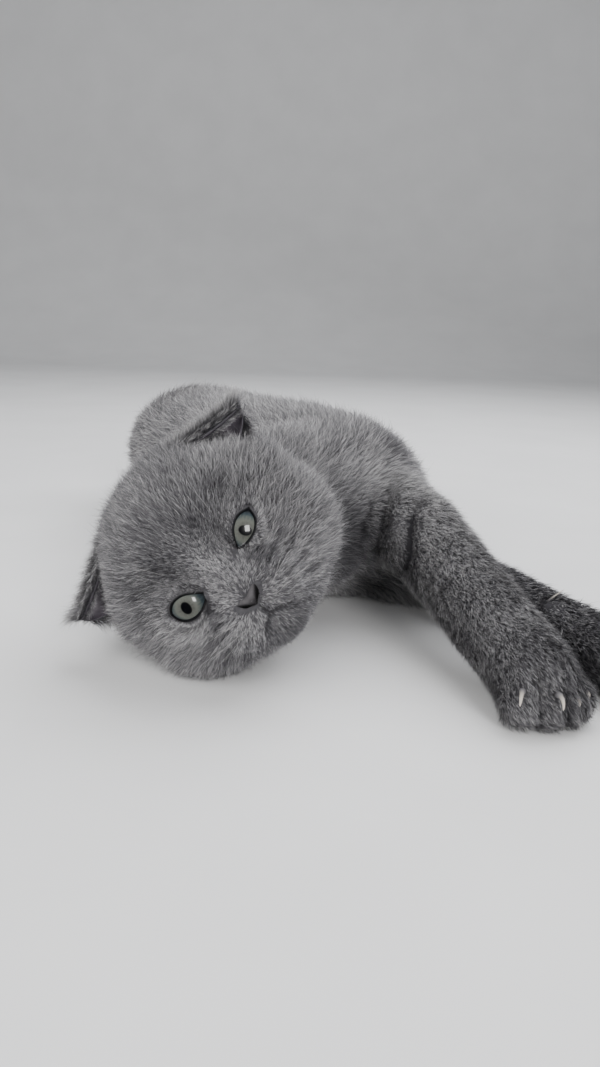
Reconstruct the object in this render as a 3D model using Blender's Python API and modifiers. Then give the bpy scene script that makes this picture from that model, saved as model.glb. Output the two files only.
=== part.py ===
"""A Scottish Fold kitten, about eight weeks old and life size, lying on its right side.

The kitten rests its head on its right cheek and looks along -Y. Both forelegs stretch past
the chin towards +X and -Y, the back curves towards -X, and the hind legs and tail lie
behind. Every outline is that of the coat, hair tips included. +Z is up, the floor is z = 0,
and the origin is the floor point under the middle of the kitten's box.

The head and the body are each modelled whole, from ellipsoids and tapered tubes melted
together. The body is then parted into neck, trunk, leg and tail pieces by thin cuts. The
ears, eyes, nose leather and claws are pieces of their own.
"""

import math

import bmesh
import bpy
from mathutils import Matrix, Vector

MM = 0.001

# Driving dimensions
EYE_RADIUS = 7.4 * MM
CUT_WIDTH = 0.35 * MM
TOUCH_GAP = 0.3 * MM
EAR_THICKNESS = 2.4 * MM
HEAD_FACES = 1450
BODY_FACES = 2200
EAR_FACES = 260
TRUNK_STEPS = 5
EYE_SLANT = math.radians(30.0)
HEAD_VOXEL = 1.4 * MM
BODY_VOXEL = 2.0 * MM
EAR_VOXEL = 0.7 * MM
PRESSED_HEIGHT = 15.0 * MM
PRESSED_DEPTH = 3.0 * MM
PRESSED_SPREAD = 0.02
SHARP_ANGLE = math.radians(35.0)

# Places in a working frame whose floor is z = 0. The whole kitten is centred at the end.
HEAD_CENTRE = Vector((-23.6, 227.1, 31.7)) * MM
HEAD_FORWARD = Vector((0.037, -0.980, 0.188))
HEAD_UP = Vector((-0.819, 0.077, 0.568))


def clear_scene():
    for old in list(bpy.data.objects):
        bpy.data.objects.remove(old, do_unlink=True)


def new_collection(name):
    made = bpy.data.collections.new(name)
    bpy.context.scene.collection.children.link(made)
    return made


def material(name, colour, roughness, metallic=0.0):
    made = bpy.data.materials.new(name)
    made.use_nodes = True
    shader = made.node_tree.nodes["Principled BSDF"]
    shader.inputs["Base Color"].default_value = (*colour, 1.0)
    shader.inputs["Roughness"].default_value = roughness
    shader.inputs["Metallic"].default_value = metallic
    return made


def move_to(obj, collection):
    for old in list(obj.users_collection):
        old.objects.unlink(obj)
    collection.objects.link(obj)
    return obj


def frame_from(forward, up, place):
    """A matrix whose X is the animal's left, -Y its forward and Z its up, at a place."""
    ahead = forward.normalized()
    left = up.cross(ahead).normalized()
    above = ahead.cross(left).normalized()
    rotation = Matrix((left, -ahead, above)).transposed().to_4x4()
    return Matrix.Translation(place) @ rotation


HEAD_FRAME = frame_from(HEAD_FORWARD, HEAD_UP, HEAD_CENTRE)


def ball(centre, semi_axes, frame=None, rings=16):
    """An ellipsoid, its semi-axes along the frame's axes, from a unit UV sphere."""
    bpy.ops.mesh.primitive_uv_sphere_add(segments=2 * rings, ring_count=rings, radius=1.0)
    made = bpy.context.object
    size = Matrix.Diagonal((*semi_axes, 1.0))
    made.data.transform((frame or Matrix()) @ Matrix.Translation(centre) @ size)
    return made


def curve_mesh(stations, roundness):
    """A bevelled curve through (place, radius) stations, made a mesh with its caps welded."""
    curve = bpy.data.curves.new("limb", "CURVE")
    curve.dimensions = "3D"
    curve.bevel_depth = 1.0
    curve.bevel_resolution = roundness
    curve.use_fill_caps = True
    spline = curve.splines.new("POLY")
    spline.points.add(len(stations) - 1)
    for point, (place, radius) in zip(spline.points, stations):
        point.co = (*place, 1.0)
        point.radius = radius
    holder = bpy.data.objects.new("limb", curve)
    bpy.context.scene.collection.objects.link(holder)
    bpy.context.view_layer.update()
    graph = bpy.context.evaluated_depsgraph_get()
    made = bpy.data.objects.new("limb", bpy.data.meshes.new_from_object(holder.evaluated_get(graph)))
    bpy.data.objects.remove(holder)
    bpy.context.scene.collection.objects.link(made)
    shell = bmesh.new()
    shell.from_mesh(made.data)
    bmesh.ops.remove_doubles(shell, verts=shell.verts, dist=0.02 * MM)
    bmesh.ops.recalc_face_normals(shell, faces=shell.faces)
    shell.to_mesh(made.data)
    shell.free()
    return made


def tube(stations):
    """A limb through (place, radius) stations, with a ball at each so that its bends are round."""
    balls = [ball(place, (radius,) * 3, rings=10) for place, radius in stations]
    return [curve_mesh(stations, 4), *balls]


def fuse(name, masses, voxel, rounds, faces):
    """Melts overlapping masses into one surface, smooths it and thins it to a count of triangles."""
    bpy.ops.object.select_all(action="DESELECT")
    for mass in masses:
        mass.select_set(True)
    bpy.context.view_layer.objects.active = masses[0]
    bpy.ops.object.join()
    made = bpy.context.object
    made.name = name
    melt = made.modifiers.new("melt", "REMESH")
    melt.mode = "VOXEL"
    melt.voxel_size = voxel
    soften = made.modifiers.new("soften", "SMOOTH")
    soften.factor = 0.5
    soften.iterations = rounds
    bake_modifiers(made)
    thin_to(made, faces)
    return made


def thin_to(obj, faces):
    """Reduces a mesh to about a count of triangles."""
    triangles = sum(len(polygon.vertices) - 2 for polygon in obj.data.polygons)
    thin = obj.modifiers.new("thin", "DECIMATE")
    thin.ratio = faces / triangles
    bake_modifiers(obj)


def bake_modifiers(obj):
    """Applies every modifier, so that the mesh is the shape that shows."""
    bpy.context.view_layer.update()
    graph = bpy.context.evaluated_depsgraph_get()
    shape = bpy.data.meshes.new_from_object(obj.evaluated_get(graph))
    obj.modifiers.clear()
    obj.data = shape


def carve(obj, cutter, operation="DIFFERENCE"):
    cut = obj.modifiers.new("cut", "BOOLEAN")
    cut.operation = operation
    cut.solver = "EXACT"
    cut.object = cutter
    bake_modifiers(obj)


def copy_of(obj, name):
    made = bpy.data.objects.new(name, obj.data.copy())
    bpy.context.scene.collection.objects.link(made)
    return made


def swollen(obj, gap):
    """A copy whose surface lies a gap further out, to cut a neighbour that only just clears it."""
    made = copy_of(obj, obj.name + "_clearance")
    swell = made.modifiers.new("swell", "DISPLACE")
    swell.strength = gap
    swell.mid_level = 0.0
    bake_modifiers(made)
    return made


def carve_clear(obj, neighbour):
    """Cuts an object back from a neighbour, leaving the touching gap between them."""
    cutter = swollen(neighbour, TOUCH_GAP)
    carve(obj, cutter)
    bpy.data.objects.remove(cutter)


def slab(place, direction, radius):
    """A thin round cutter across a limb, its axis along the limb's direction."""
    bpy.ops.mesh.primitive_cylinder_add(vertices=32, radius=radius * MM, depth=CUT_WIDTH)
    made = bpy.context.object
    turn = Vector(direction).to_track_quat("Z", "Y").to_matrix().to_4x4()
    made.data.transform(Matrix.Translation(Vector(place) * MM) @ turn)
    return made


def loose_parts(obj):
    """Splits an object into its separate shells and returns them."""
    bpy.ops.object.select_all(action="DESELECT")
    obj.select_set(True)
    bpy.context.view_layer.objects.active = obj
    bpy.ops.mesh.separate(type="LOOSE")
    return list(bpy.context.selected_objects)


def middle_of(obj):
    corners = [vertex.co for vertex in obj.data.vertices]
    return sum(corners, Vector()) / len(corners)


# Head


def head_masses():
    """The head's ellipsoids in the head's own axes: +X its left, -Y ahead, +Z above."""
    middle = [
        ((0, 6, 7), (33.8, 32.4, 28.2)),
        ((0, -9, 11), (27, 21, 20)),
        ((0, -17.5, -12), (17, 15, 14)),
        ((0, -20, -4), (8, 13, 11)),
        ((0, -22, -23), (9.5, 9, 7)),
        ((0, -5, -16), (25, 22, 15)),
    ]
    paired = [
        ((17, -3, -7), (17.6, 20, 19.5)),
        ((20.5, -1, 4), (14.3, 19.5, 17)),
        ((13.5, -11.5, -12), (14, 13, 14)),
        ((6.3, -25.5, -16.5), (8.2, 8, 7.5)),
        ((12.5, -10.5, 11), (13, 13, 11)),
    ]
    masses = list(middle)
    for side in (-1, 1):
        masses += [((side * x, y, z), size) for (x, y, z), size in paired]
    return [ball(Vector(c) * MM, Vector(s) * MM, HEAD_FRAME) for c, s in masses]


EYE_PLACE = Vector((11.9, -17.6, -0.4))
NOSE_PLACE = Vector((0.0, -31.5, -13.0))


def build_eye(side):
    """An eyeball: a plain ball, of which the lids show the front."""
    place = HEAD_FRAME @ (Vector((side * EYE_PLACE.x, EYE_PLACE.y, EYE_PLACE.z)) * MM)
    made = ball(place, (EYE_RADIUS,) * 3, rings=8)
    made.name = "eye_left" if side > 0 else "eye_right"
    return made


def lid_bowl(side):
    """An almond bowl between the lids, its long axis rising outwards by the eye's slant."""
    slant = Matrix.Rotation(-side * EYE_SLANT, 4, "Y")
    turn = Matrix.Rotation(side * math.radians(12.0), 4, "Z")
    place = Matrix.Translation(Vector((side * (EYE_PLACE.x + 0.9), EYE_PLACE.y - 8.5, EYE_PLACE.z)) * MM)
    return ball(Vector(), Vector((5.6, 5.0, 3.6)) * MM, HEAD_FRAME @ place @ turn @ slant, rings=9)


def build_nose():
    """The nose leather: a flattened ball that narrows downwards to a point."""
    made = ball(Vector(), Vector((4.9, 3.2, 3.3)) * MM, rings=6)
    for vertex in made.data.vertices:
        vertex.co.x *= 0.78 + 0.30 * vertex.co.z / (3.3 * MM)
    made.data.transform(HEAD_FRAME @ Matrix.Translation(NOSE_PLACE * MM))
    made.name = "nose"
    return made


EAR_CREASE_START = Vector((17.0, -2.0, 29.0))
EAR_CREASE_END = Vector((38.5, -5.0, 21.5))


def ear_point(side, along, around):
    """A point of the folded ear flap, in the head's own axes in millimetres.

    The section is an ellipse arc that runs from the lower rim (around 0) behind the ear to the
    crease at its top, and on down the front as the folded flap (around 1). It shrinks along the
    crease line towards the ear's outer tip.
    """
    crease = EAR_CREASE_START.lerp(EAR_CREASE_END, along)
    run = (EAR_CREASE_END - EAR_CREASE_START).normalized()
    ahead = (Vector((0.25, -1.0, 0.0)) - run * run.dot(Vector((0.25, -1.0, 0.0)))).normalized()
    upward = ahead.cross(run).normalized()
    if upward.z < 0:
        upward.negate()
    size = max(1.0 - max(along, 0.0) ** 2.4, 0.0) ** 0.75 * 0.86 + 0.14
    angle = math.radians(205.0 - 290.0 * around)
    height = 7.0 * size * (math.cos(angle) - 1.0)
    depth = -5.2 * size * math.sin(angle)
    point = crease + upward * height + ahead * depth
    return Vector((side * point.x, point.y, point.z))


def build_ear(side):
    """A folded ear: the computed flap surface, thickened, melted smooth and thinned."""
    along_steps, around_steps = 14, 22
    flap = bmesh.new()
    grid = []
    for row in range(along_steps + 1):
        along = -0.15 + 1.15 * row / along_steps
        line = [
            flap.verts.new(HEAD_FRAME @ (ear_point(side, along, column / around_steps) * MM))
            for column in range(around_steps + 1)
        ]
        grid.append(line)
    for near, far in zip(grid, grid[1:]):
        for column in range(around_steps):
            flap.faces.new((near[column], near[column + 1], far[column + 1], far[column]))
    mesh = bpy.data.meshes.new("ear")
    flap.to_mesh(mesh)
    flap.free()
    made = bpy.data.objects.new("ear_left" if side > 0 else "ear_right", mesh)
    bpy.context.scene.collection.objects.link(made)
    wall = made.modifiers.new("wall", "SOLIDIFY")
    wall.thickness = EAR_THICKNESS
    wall.offset = 0.0
    melt = made.modifiers.new("melt", "REMESH")
    melt.mode = "VOXEL"
    melt.voxel_size = EAR_VOXEL
    soften = made.modifiers.new("soften", "SMOOTH")
    soften.factor = 0.5
    soften.iterations = 6
    bake_modifiers(made)
    thin_to(made, EAR_FACES)
    return made


def settle(obj, centre):
    """Presses what lies under a height softly up to the floor and spreads it sideways.

    With t the depth under that height, the new depth is t - c t^2, where c lifts the lowest
    point of the unpressed shape by the pressed depth.
    """
    full = PRESSED_HEIGHT + PRESSED_DEPTH
    curve = PRESSED_DEPTH / full ** 2
    for vertex in obj.data.vertices:
        depth = PRESSED_HEIGHT - vertex.co.z
        if depth > 0.0:
            vertex.co.z = PRESSED_HEIGHT - (depth - curve * min(depth, full) ** 2)
            widen = PRESSED_SPREAD * min(depth / full, 1.0) ** 2
            vertex.co.x += (vertex.co.x - centre.x) * widen
            vertex.co.y += (vertex.co.y - centre.y) * widen


def build_head():
    made = fuse("head", head_masses(), HEAD_VOXEL, 16, HEAD_FACES)
    settle(made, HEAD_CENTRE)
    return made


# Body

FORWARD = Vector((0.54, -0.84, 0.0)).normalized()
DORSAL = Vector((-0.84, -0.54, 0.0)).normalized()
UPPER = Vector((0.0, 0.0, 1.0))
BODY_AXES = Matrix((FORWARD, DORSAL, UPPER)).transposed().to_4x4()

TRUNK = [
    ((11, 302, 31), (42, 35, 34)),
    ((-6, 332, 31), (42, 37, 34)),
    ((-28, 366, 30), (42, 37, 33)),
    ((-52, 405, 30), (38, 35, 33)),
]
NECK = [
    ((-20, 246, 34), 27),
    ((-6, 268, 34), 29),
    ((8, 290, 33), 31),
]
LEFT_FORELEG = [
    ((22, 292, 38), 19.5),
    ((32, 271, 34), 16),
    ((40, 253, 32), 14.5),
    ((48, 235, 25.5), 13),
    ((56, 214, 18), 12.3),
    ((61.5, 203, 13.4), 12.4),
    ((64, 195, 11.2), 12.2),
]
RIGHT_FORELEG = [
    ((22, 290, 20), 20),
    ((50, 277, 13), 13.5),
    ((70, 256, 10.4), 11.2),
    ((81, 233, 10), 11),
    ((91, 213, 10), 11.2),
    ((96, 203, 10.2), 11.4),
    ((99, 197, 10.1), 11.2),
]
LEFT_THIGH = [
    ((-52, 402, 42), 22),
    ((-26, 404, 38), 20),
    ((-6, 400, 31), 15),
]
LEFT_SHANK = [
    ((-6, 400, 31), 14),
    ((10, 420, 23), 11.5),
    ((16, 438, 16), 10.5),
    ((22, 450, 10.2), 11.2),
]
LEFT_FOOT = [
    ((22, 450, 10.2), 11.2),
    ((37, 447, 9.9), 11),
    ((46, 443, 10.1), 11.3),
]
RIGHT_THIGH = [
    ((-50, 408, 18), 19),
    ((-34, 418, 16), 17),
    ((-22, 425, 13), 13.5),
]
RIGHT_SHANK = [
    ((-22, 425, 13), 13),
    ((-21, 447, 11), 11.5),
    ((-18, 468, 9.9), 10.9),
]
RIGHT_FOOT = [
    ((-18, 468, 9.9), 10.9),
    ((0, 480, 9.9), 11),
    ((13, 487, 10.1), 11.3),
]
TAIL = [
    ((-68, 430, 22), 12),
    ((-74, 450, 12.4), 10.5),
    ((-74, 470, 9), 10),
    ((-66, 491, 8.7), 9.8),
    ((-50, 506, 8.1), 9.2),
    ((-28, 515, 7), 8.2),
    ((-8, 517, 5.7), 7),
]


# Each paw's stations, and how far its four toes lie to the side of the last one
PAWS = {
    "left_forepaw": (LEFT_FORELEG, (-9.0, -0.9, 5.7, 10.5)),
    "right_forepaw": (RIGHT_FORELEG, (-8.6, -2.9, 2.9, 8.6)),
    "left_hindpaw": (LEFT_FOOT, (-8.0, -2.7, 2.7, 8.0)),
    "right_hindpaw": (RIGHT_FOOT, (-8.0, -2.7, 2.7, 8.0)),
}
TOE_REACHES = (5.5, 8.5, 8.5, 5.5)
TOE_HEIGHT = 6.1
RIGHT_DEWCLAW = [
    ((76, 230.5, 18), 0.8),
    ((76.5, 229.5, 21.5), 0.75),
    ((78.8, 229.3, 23.0), 0.55),
    ((80.8, 229.6, 23.3), 0.28),
]


def stations(rows):
    return [(Vector(place) * MM, radius * MM) for place, radius in rows]


def toe_places(rows, spreads):
    """The middles of a paw's four toes, and the level direction of its last two stations."""
    before, tip = Vector(rows[-2][0]), Vector(rows[-1][0])
    ahead = (tip - before).to_2d().to_3d().normalized()
    across = Vector((-ahead.y, ahead.x, 0.0))
    places = []
    for spread, reach in zip(spreads, TOE_REACHES):
        place = tip + across * spread + ahead * reach
        place.z = TOE_HEIGHT
        places.append(place)
    return places, ahead


def toes(rows, spreads):
    places, _ = toe_places(rows, spreads)
    return [ball(place * MM, Vector((5.4, 6.0, 6.6)) * MM, rings=10) for place in places]


def build_claw(name, path):
    """A claw: a curved tube through its (place, radius) stations, thick at the root."""
    made = curve_mesh([(Vector(place) * MM, radius * MM) for place, radius in path], 1)
    made.name = name
    return made


def toe_claw(name, place, ahead):
    """A claw that leaves the top of a toe and hooks down before it."""
    profile = (((2.5, 4.9), 0.9), ((5.0, 5.4), 0.9), ((6.8, 4.3), 0.72), ((7.6, 2.6), 0.5), ((7.7, 0.8), 0.28))
    path = [
        (place + ahead * forward + Vector((0.0, 0.0, height)), radius)
        for (forward, height), radius in profile
    ]
    return build_claw(name, path)


def between(rows, steps):
    """The (place, size) rows with evenly spaced rows added between each two of them."""
    filled = []
    for (place, size), (next_place, next_size) in zip(rows, rows[1:]):
        for step in range(steps):
            part_way = step / steps
            filled.append((
                Vector(place).lerp(Vector(next_place), part_way),
                Vector(size).lerp(Vector(next_size), part_way),
            ))
    return [*filled, rows[-1]]


def build_body():
    masses = []
    for place, size in between(TRUNK, TRUNK_STEPS):
        centre = Vector(place) * MM
        masses.append(ball(Vector(), Vector(size) * MM, Matrix.Translation(centre) @ BODY_AXES))
    limbs = (
        NECK, LEFT_FORELEG, RIGHT_FORELEG, LEFT_THIGH, LEFT_SHANK, LEFT_FOOT,
        RIGHT_THIGH, RIGHT_SHANK, RIGHT_FOOT, TAIL,
    )
    for rows in limbs:
        masses += tube(stations(rows))
    for rows, spreads in PAWS.values():
        masses += toes(rows, spreads)
    return fuse("body", masses, BODY_VOXEL, 10, BODY_FACES)


def floor_block():
    """A block whose top is the floor, to cut the resting flats."""
    bpy.ops.mesh.primitive_cube_add(size=1.0, location=(0.0, 0.35, -0.5))
    made = bpy.context.object
    made.data.transform(made.matrix_world)
    made.matrix_world = Matrix()
    return made


UPPER_LEGS = {
    "left_upper_foreleg": ((16, 300, 41), (42, 248, 31), 21),
    "right_upper_foreleg": ((18, 294, 12), (65, 264, 11), 16.5),
    "left_thigh": ((-58, 402, 44), (5, 404, 28), 23),
    "right_thigh": ((-60, 405, 16), (-17, 429, 14), 21),
}
SLABS = [
    ((-3, 281.5, 34), (28, 44, -1), 47),
    ((59, 208, 16.5), (6, -15, -3.5), 16),
    ((93, 209, 11.5), (5, -10, 0), 15.5),
    ((19, 444, 14), (6, 12, -5), 15),
    ((-19.2, 461, 11), (2, 22, -1.5), 14.5),
    ((-72, 443, 17), (-6, 20, -9), 15),
]
SEEDS = {
    "neck": (-8, 268, 34),
    "trunk": (-24, 350, 31),
    "left_lower_foreleg": (47, 236, 26),
    "left_forepaw": (65, 192, 10),
    "right_lower_foreleg": (75, 238, 12),
    "right_forepaw": (100, 193, 10),
    "left_shank": (10, 423, 21),
    "left_hindpaw": (36, 446, 11),
    "right_shank": (-20, 448, 12),
    "right_hindpaw": (2, 481, 11),
    "tail": (-55, 490, 9.5),
}


def rod(start, end, radius, grow=0.0):
    """A round cutter from one point to another, grown all over by a margin."""
    start = Vector(start) * MM
    end = Vector(end) * MM
    run = end - start
    bpy.ops.mesh.primitive_cylinder_add(
        vertices=24, radius=radius * MM + grow, depth=run.length + 2.0 * grow
    )
    made = bpy.context.object
    turn = run.to_track_quat("Z", "Y").to_matrix().to_4x4()
    made.data.transform(Matrix.Translation((start + end) / 2.0) @ turn)
    return made


def part_body(body):
    """Parts the body: rods take out the upper legs, thin slabs cut the rest across."""
    pieces = []
    for name, (start, end, radius) in UPPER_LEGS.items():
        inner = rod(start, end, radius)
        outer = rod(start, end, radius, CUT_WIDTH)
        piece = copy_of(body, name)
        carve(piece, inner, "INTERSECT")
        carve(body, outer)
        for cutter in (inner, outer):
            bpy.data.objects.remove(cutter)
        pieces.append(piece)
    for place, direction, radius in SLABS:
        cutter = slab(place, direction, radius)
        carve(body, cutter)
        bpy.data.objects.remove(cutter)
    for shell in loose_parts(body):
        centre = middle_of(shell) / MM
        shell.name = min(SEEDS, key=lambda name: (Vector(SEEDS[name]) - centre).length)
        pieces.append(shell)
    return pieces


FINISHES = {
    "coat": ((0.145, 0.143, 0.158), 0.85),
    "eye": ((0.20, 0.235, 0.215), 0.05),
    "nose": ((0.05, 0.045, 0.052), 0.45),
    "claw": ((0.66, 0.62, 0.56), 0.35),
}


def finish(part, collection):
    """Gives a part its own material, smooth shading and its place in the collection."""
    kind = part.name.split("_")[0]
    colour, roughness = FINISHES.get(kind, FINISHES["coat"])
    part.data.materials.clear()
    part.data.materials.append(material(part.name + "_finish", colour, roughness))
    part.data.shade_smooth()
    part.data.set_sharp_from_angle(angle=SHARP_ANGLE)
    part.data.name = part.name
    move_to(part, collection)


def centre_on_floor(parts):
    """Moves the parts so that the origin is the floor point under the middle of their box."""
    corners = [vertex.co for part in parts for vertex in part.data.vertices]
    middle = [(min(axis) + max(axis)) / 2.0 for axis in zip(*corners)]
    for part in parts:
        part.data.transform(Matrix.Translation((-middle[0], -middle[1], 0.0)))


def build_head_parts(floor):
    """The head with its eye sockets and its seat for the nose, and the pieces that sit in them."""
    head = build_head()
    carve(head, floor)
    ears = [build_ear(side) for side in (-1, 1)]
    for ear in ears:
        carve_clear(ear, head)
    eyes = [build_eye(side) for side in (-1, 1)]
    nose = build_nose()
    for side in (-1, 1):
        bowl = lid_bowl(side)
        carve(head, bowl)
        bpy.data.objects.remove(bowl)
    for piece in (*eyes, nose):
        carve_clear(head, piece)
    return [head, *ears, *eyes, nose]


def build_claws(pieces):
    """The four claws of each forepaw, and the right foreleg's dewclaw."""
    claws = []
    for side in ("left", "right"):
        paw = pieces[side + "_forepaw"]
        places, ahead = toe_places(*PAWS[paw.name])
        for number, place in enumerate(places, 1):
            claw = toe_claw(f"claw_{side}_fore_{number}", place, ahead)
            carve_clear(claw, paw)
            claws.append(claw)
    dewclaw = build_claw("claw_right_dew", RIGHT_DEWCLAW)
    carve_clear(dewclaw, pieces["right_lower_foreleg"])
    return [*claws, dewclaw]


def main():
    clear_scene()
    collection = new_collection("scottish_fold_kitten")
    floor = floor_block()
    body = build_body()
    head_parts = build_head_parts(floor)
    carve_clear(body, head_parts[0])
    carve(body, floor)
    bpy.data.objects.remove(floor)
    pieces = part_body(body)
    claws = build_claws({piece.name: piece for piece in pieces})
    parts = [*head_parts, *pieces, *claws]
    centre_on_floor(parts)
    for part in parts:
        finish(part, collection)


main()
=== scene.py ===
"""A blue-grey Scottish Fold kitten, about eight weeks old, lying on its right side.

One skin replaces the solids of flesh and lies under them by the coat's depth. The coat is
mesh: tufts of thin tapered blades that follow the lie of the hair. Eyes, lids, nose, ears,
claws and whiskers are pieces of their own. Arrays hold millimetres in the frame's axes, and
make_piece turns them into metres.
"""

import math

import bmesh
import bpy
import numpy as np
from mathutils import Matrix, Vector


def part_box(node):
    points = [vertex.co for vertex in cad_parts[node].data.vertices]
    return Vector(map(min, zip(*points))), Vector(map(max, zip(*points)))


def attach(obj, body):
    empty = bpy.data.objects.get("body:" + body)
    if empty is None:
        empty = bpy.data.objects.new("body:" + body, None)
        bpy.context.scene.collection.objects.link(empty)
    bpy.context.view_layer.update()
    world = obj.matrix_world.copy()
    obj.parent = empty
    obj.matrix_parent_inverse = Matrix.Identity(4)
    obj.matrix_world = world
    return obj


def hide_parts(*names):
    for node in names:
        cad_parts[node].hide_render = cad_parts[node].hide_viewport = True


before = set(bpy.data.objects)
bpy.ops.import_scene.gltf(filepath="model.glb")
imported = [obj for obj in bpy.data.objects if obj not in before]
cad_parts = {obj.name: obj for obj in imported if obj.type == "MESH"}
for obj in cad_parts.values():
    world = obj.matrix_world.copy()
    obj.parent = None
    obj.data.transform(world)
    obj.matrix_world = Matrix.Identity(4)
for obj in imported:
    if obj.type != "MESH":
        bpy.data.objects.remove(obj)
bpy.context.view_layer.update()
rng = np.random.default_rng(8)

MM = 0.001
EYE_RADIUS = 7.4
VOXEL = 1.2
SWELL = 0.3
DEPTH_OF_LENGTH = 0.5
TUFT = 5

FLESH = (
    "head", "neck", "trunk", "tail",
    "left_upper_foreleg", "left_lower_foreleg", "left_forepaw",
    "right_upper_foreleg", "right_lower_foreleg", "right_forepaw",
    "left_thigh", "left_shank", "left_hindpaw",
    "right_thigh", "right_shank", "right_hindpaw",
)


# Vectors and fields


def unit(vectors):
    """Each vector divided by its length."""
    return vectors / np.maximum(np.linalg.norm(vectors, axis=-1, keepdims=True), 1e-9)


def ramp(values, start, end):
    """0 before start, 1 after end, and 3t^2 - 2t^3 between them."""
    t = np.clip((values - start) / (end - start), 0.0, 1.0)
    return t * t * (3.0 - 2.0 * t)


def bell(distances, width):
    """A bell curve: 1 at no distance, falling as exp(-(d / width)^2)."""
    return np.exp(-(distances / width) ** 2)


def waves(points, length, seed, count=14):
    """Smooth noise of about -1 to 1: a sum of sine waves in random directions, near one length."""
    draw = np.random.default_rng(seed)
    directions = unit(draw.normal(size=(count, 3)))
    numbers = 2.0 * math.pi / (length * draw.uniform(0.7, 1.4, count))
    phases = draw.uniform(0.0, 2.0 * math.pi, count)
    return np.sin(points @ (directions * numbers[:, None]).T + phases).sum(axis=1) / math.sqrt(count)


def node_middle(name):
    low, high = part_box(name)
    return np.array((low + high) / 2.0) / MM


# The head's own axes: +X its left, -Y ahead, +Z above, from the same directions as the solids
HEAD_AHEAD = unit(np.array((0.037, -0.980, 0.188)))
HEAD_LEFT = unit(np.cross((-0.819, 0.077, 0.568), HEAD_AHEAD))
HEAD_ABOVE = np.cross(HEAD_AHEAD, HEAD_LEFT)
HEAD_TURN = np.stack((HEAD_LEFT, -HEAD_AHEAD, HEAD_ABOVE), axis=1)
EYE_PLACE = np.array((11.9, -17.6, -0.4))
HEAD_CENTRE = (node_middle("eye_left") + node_middle("eye_right")) / 2.0 - HEAD_TURN @ (EYE_PLACE * (0, 1, 1))

# The solids' places were set from this point of the head, and so are the legs' lines below
HOME = HEAD_CENTRE - np.array((-23.6, 227.1, 31.7))


def to_head(points):
    return (points - HEAD_CENTRE) @ HEAD_TURN


def from_head(points):
    return HEAD_CENTRE + np.asarray(points, float) @ HEAD_TURN.T


# Pieces


def grid_faces(rows, columns, wrap=False):
    """The quads of a grid of points, row by row, with the last column joined to the first if it wraps."""
    row, column = np.meshgrid(np.arange(rows - 1), np.arange(columns if wrap else columns - 1), indexing="ij")
    after = (column + 1) % columns
    corners = (row * columns + column, row * columns + after, (row + 1) * columns + after, (row + 1) * columns + column)
    return np.stack(corners, axis=-1).reshape(-1, 4)


def closed_faces(points, columns):
    """Triangles that close rings of points between a first point and a last one, turned to face outward."""
    rings = (len(points) - 2) // columns
    quads = grid_faces(rings, columns, True) + 1
    first = np.arange(columns) + 1
    after = np.roll(first, -1)
    last = (rings - 1) * columns
    start = np.stack((np.zeros_like(first), after, first), axis=1)
    end = np.stack((first + last, after + last, np.full_like(first, len(points) - 1)), axis=1)
    faces = np.concatenate((start, quads[:, :3], quads[:, [0, 2, 3]], end))
    a, b, c = (points[faces[:, i]] for i in range(3))
    return faces if (a * np.cross(b, c)).sum() > 0.0 else faces[:, ::-1]


def make_piece(name, points, faces, finish, attributes=None, uv=None):
    """A mesh object from points in millimetres and an array of faces, riding on the body."""
    count, corners = faces.shape
    mesh = bpy.data.meshes.new(name)
    mesh.vertices.add(len(points))
    mesh.vertices.foreach_set("co", (points * MM).astype(np.float32).ravel())
    mesh.loops.add(count * corners)
    mesh.loops.foreach_set("vertex_index", faces.astype(np.int32).ravel())
    mesh.polygons.add(count)
    mesh.polygons.foreach_set("loop_start", np.arange(0, count * corners, corners, dtype=np.int32))
    for key, values in (attributes or {}).items():
        mesh.attributes.new(key, "FLOAT", "POINT").data.foreach_set("value", values.astype(np.float32).ravel())
    if uv is not None:
        layer = mesh.uv_layers.new(name="OFBake")
        layer.data.foreach_set("uv", uv[faces.ravel()].astype(np.float32).ravel())
    mesh.update(calc_edges=True)
    mesh.shade_smooth()
    mesh.materials.append(finish)
    piece = bpy.data.objects.new(name, mesh)
    bpy.context.scene.collection.objects.link(piece)
    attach(piece, "root")
    return piece


# Finishes


class Wire:
    """A shader value that arithmetic extends with Math nodes."""

    def __init__(self, paint, socket):
        self.paint = paint
        self.socket = socket

    def math(self, operation, *values):
        return self.paint.add("ShaderNodeMath", {"operation": operation}, dict(enumerate(values)))

    def __add__(self, other):
        return self.math("ADD", self, other)

    def __radd__(self, other):
        return self.math("ADD", other, self)

    def __sub__(self, other):
        return self.math("SUBTRACT", self, other)

    def __rsub__(self, other):
        return self.math("SUBTRACT", other, self)

    def __mul__(self, other):
        return self.math("MULTIPLY", self, other)

    def __rmul__(self, other):
        return self.math("MULTIPLY", other, self)

    def __truediv__(self, other):
        return self.math("DIVIDE", self, other)

    def __pow__(self, other):
        return self.math("POWER", self, other)


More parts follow.
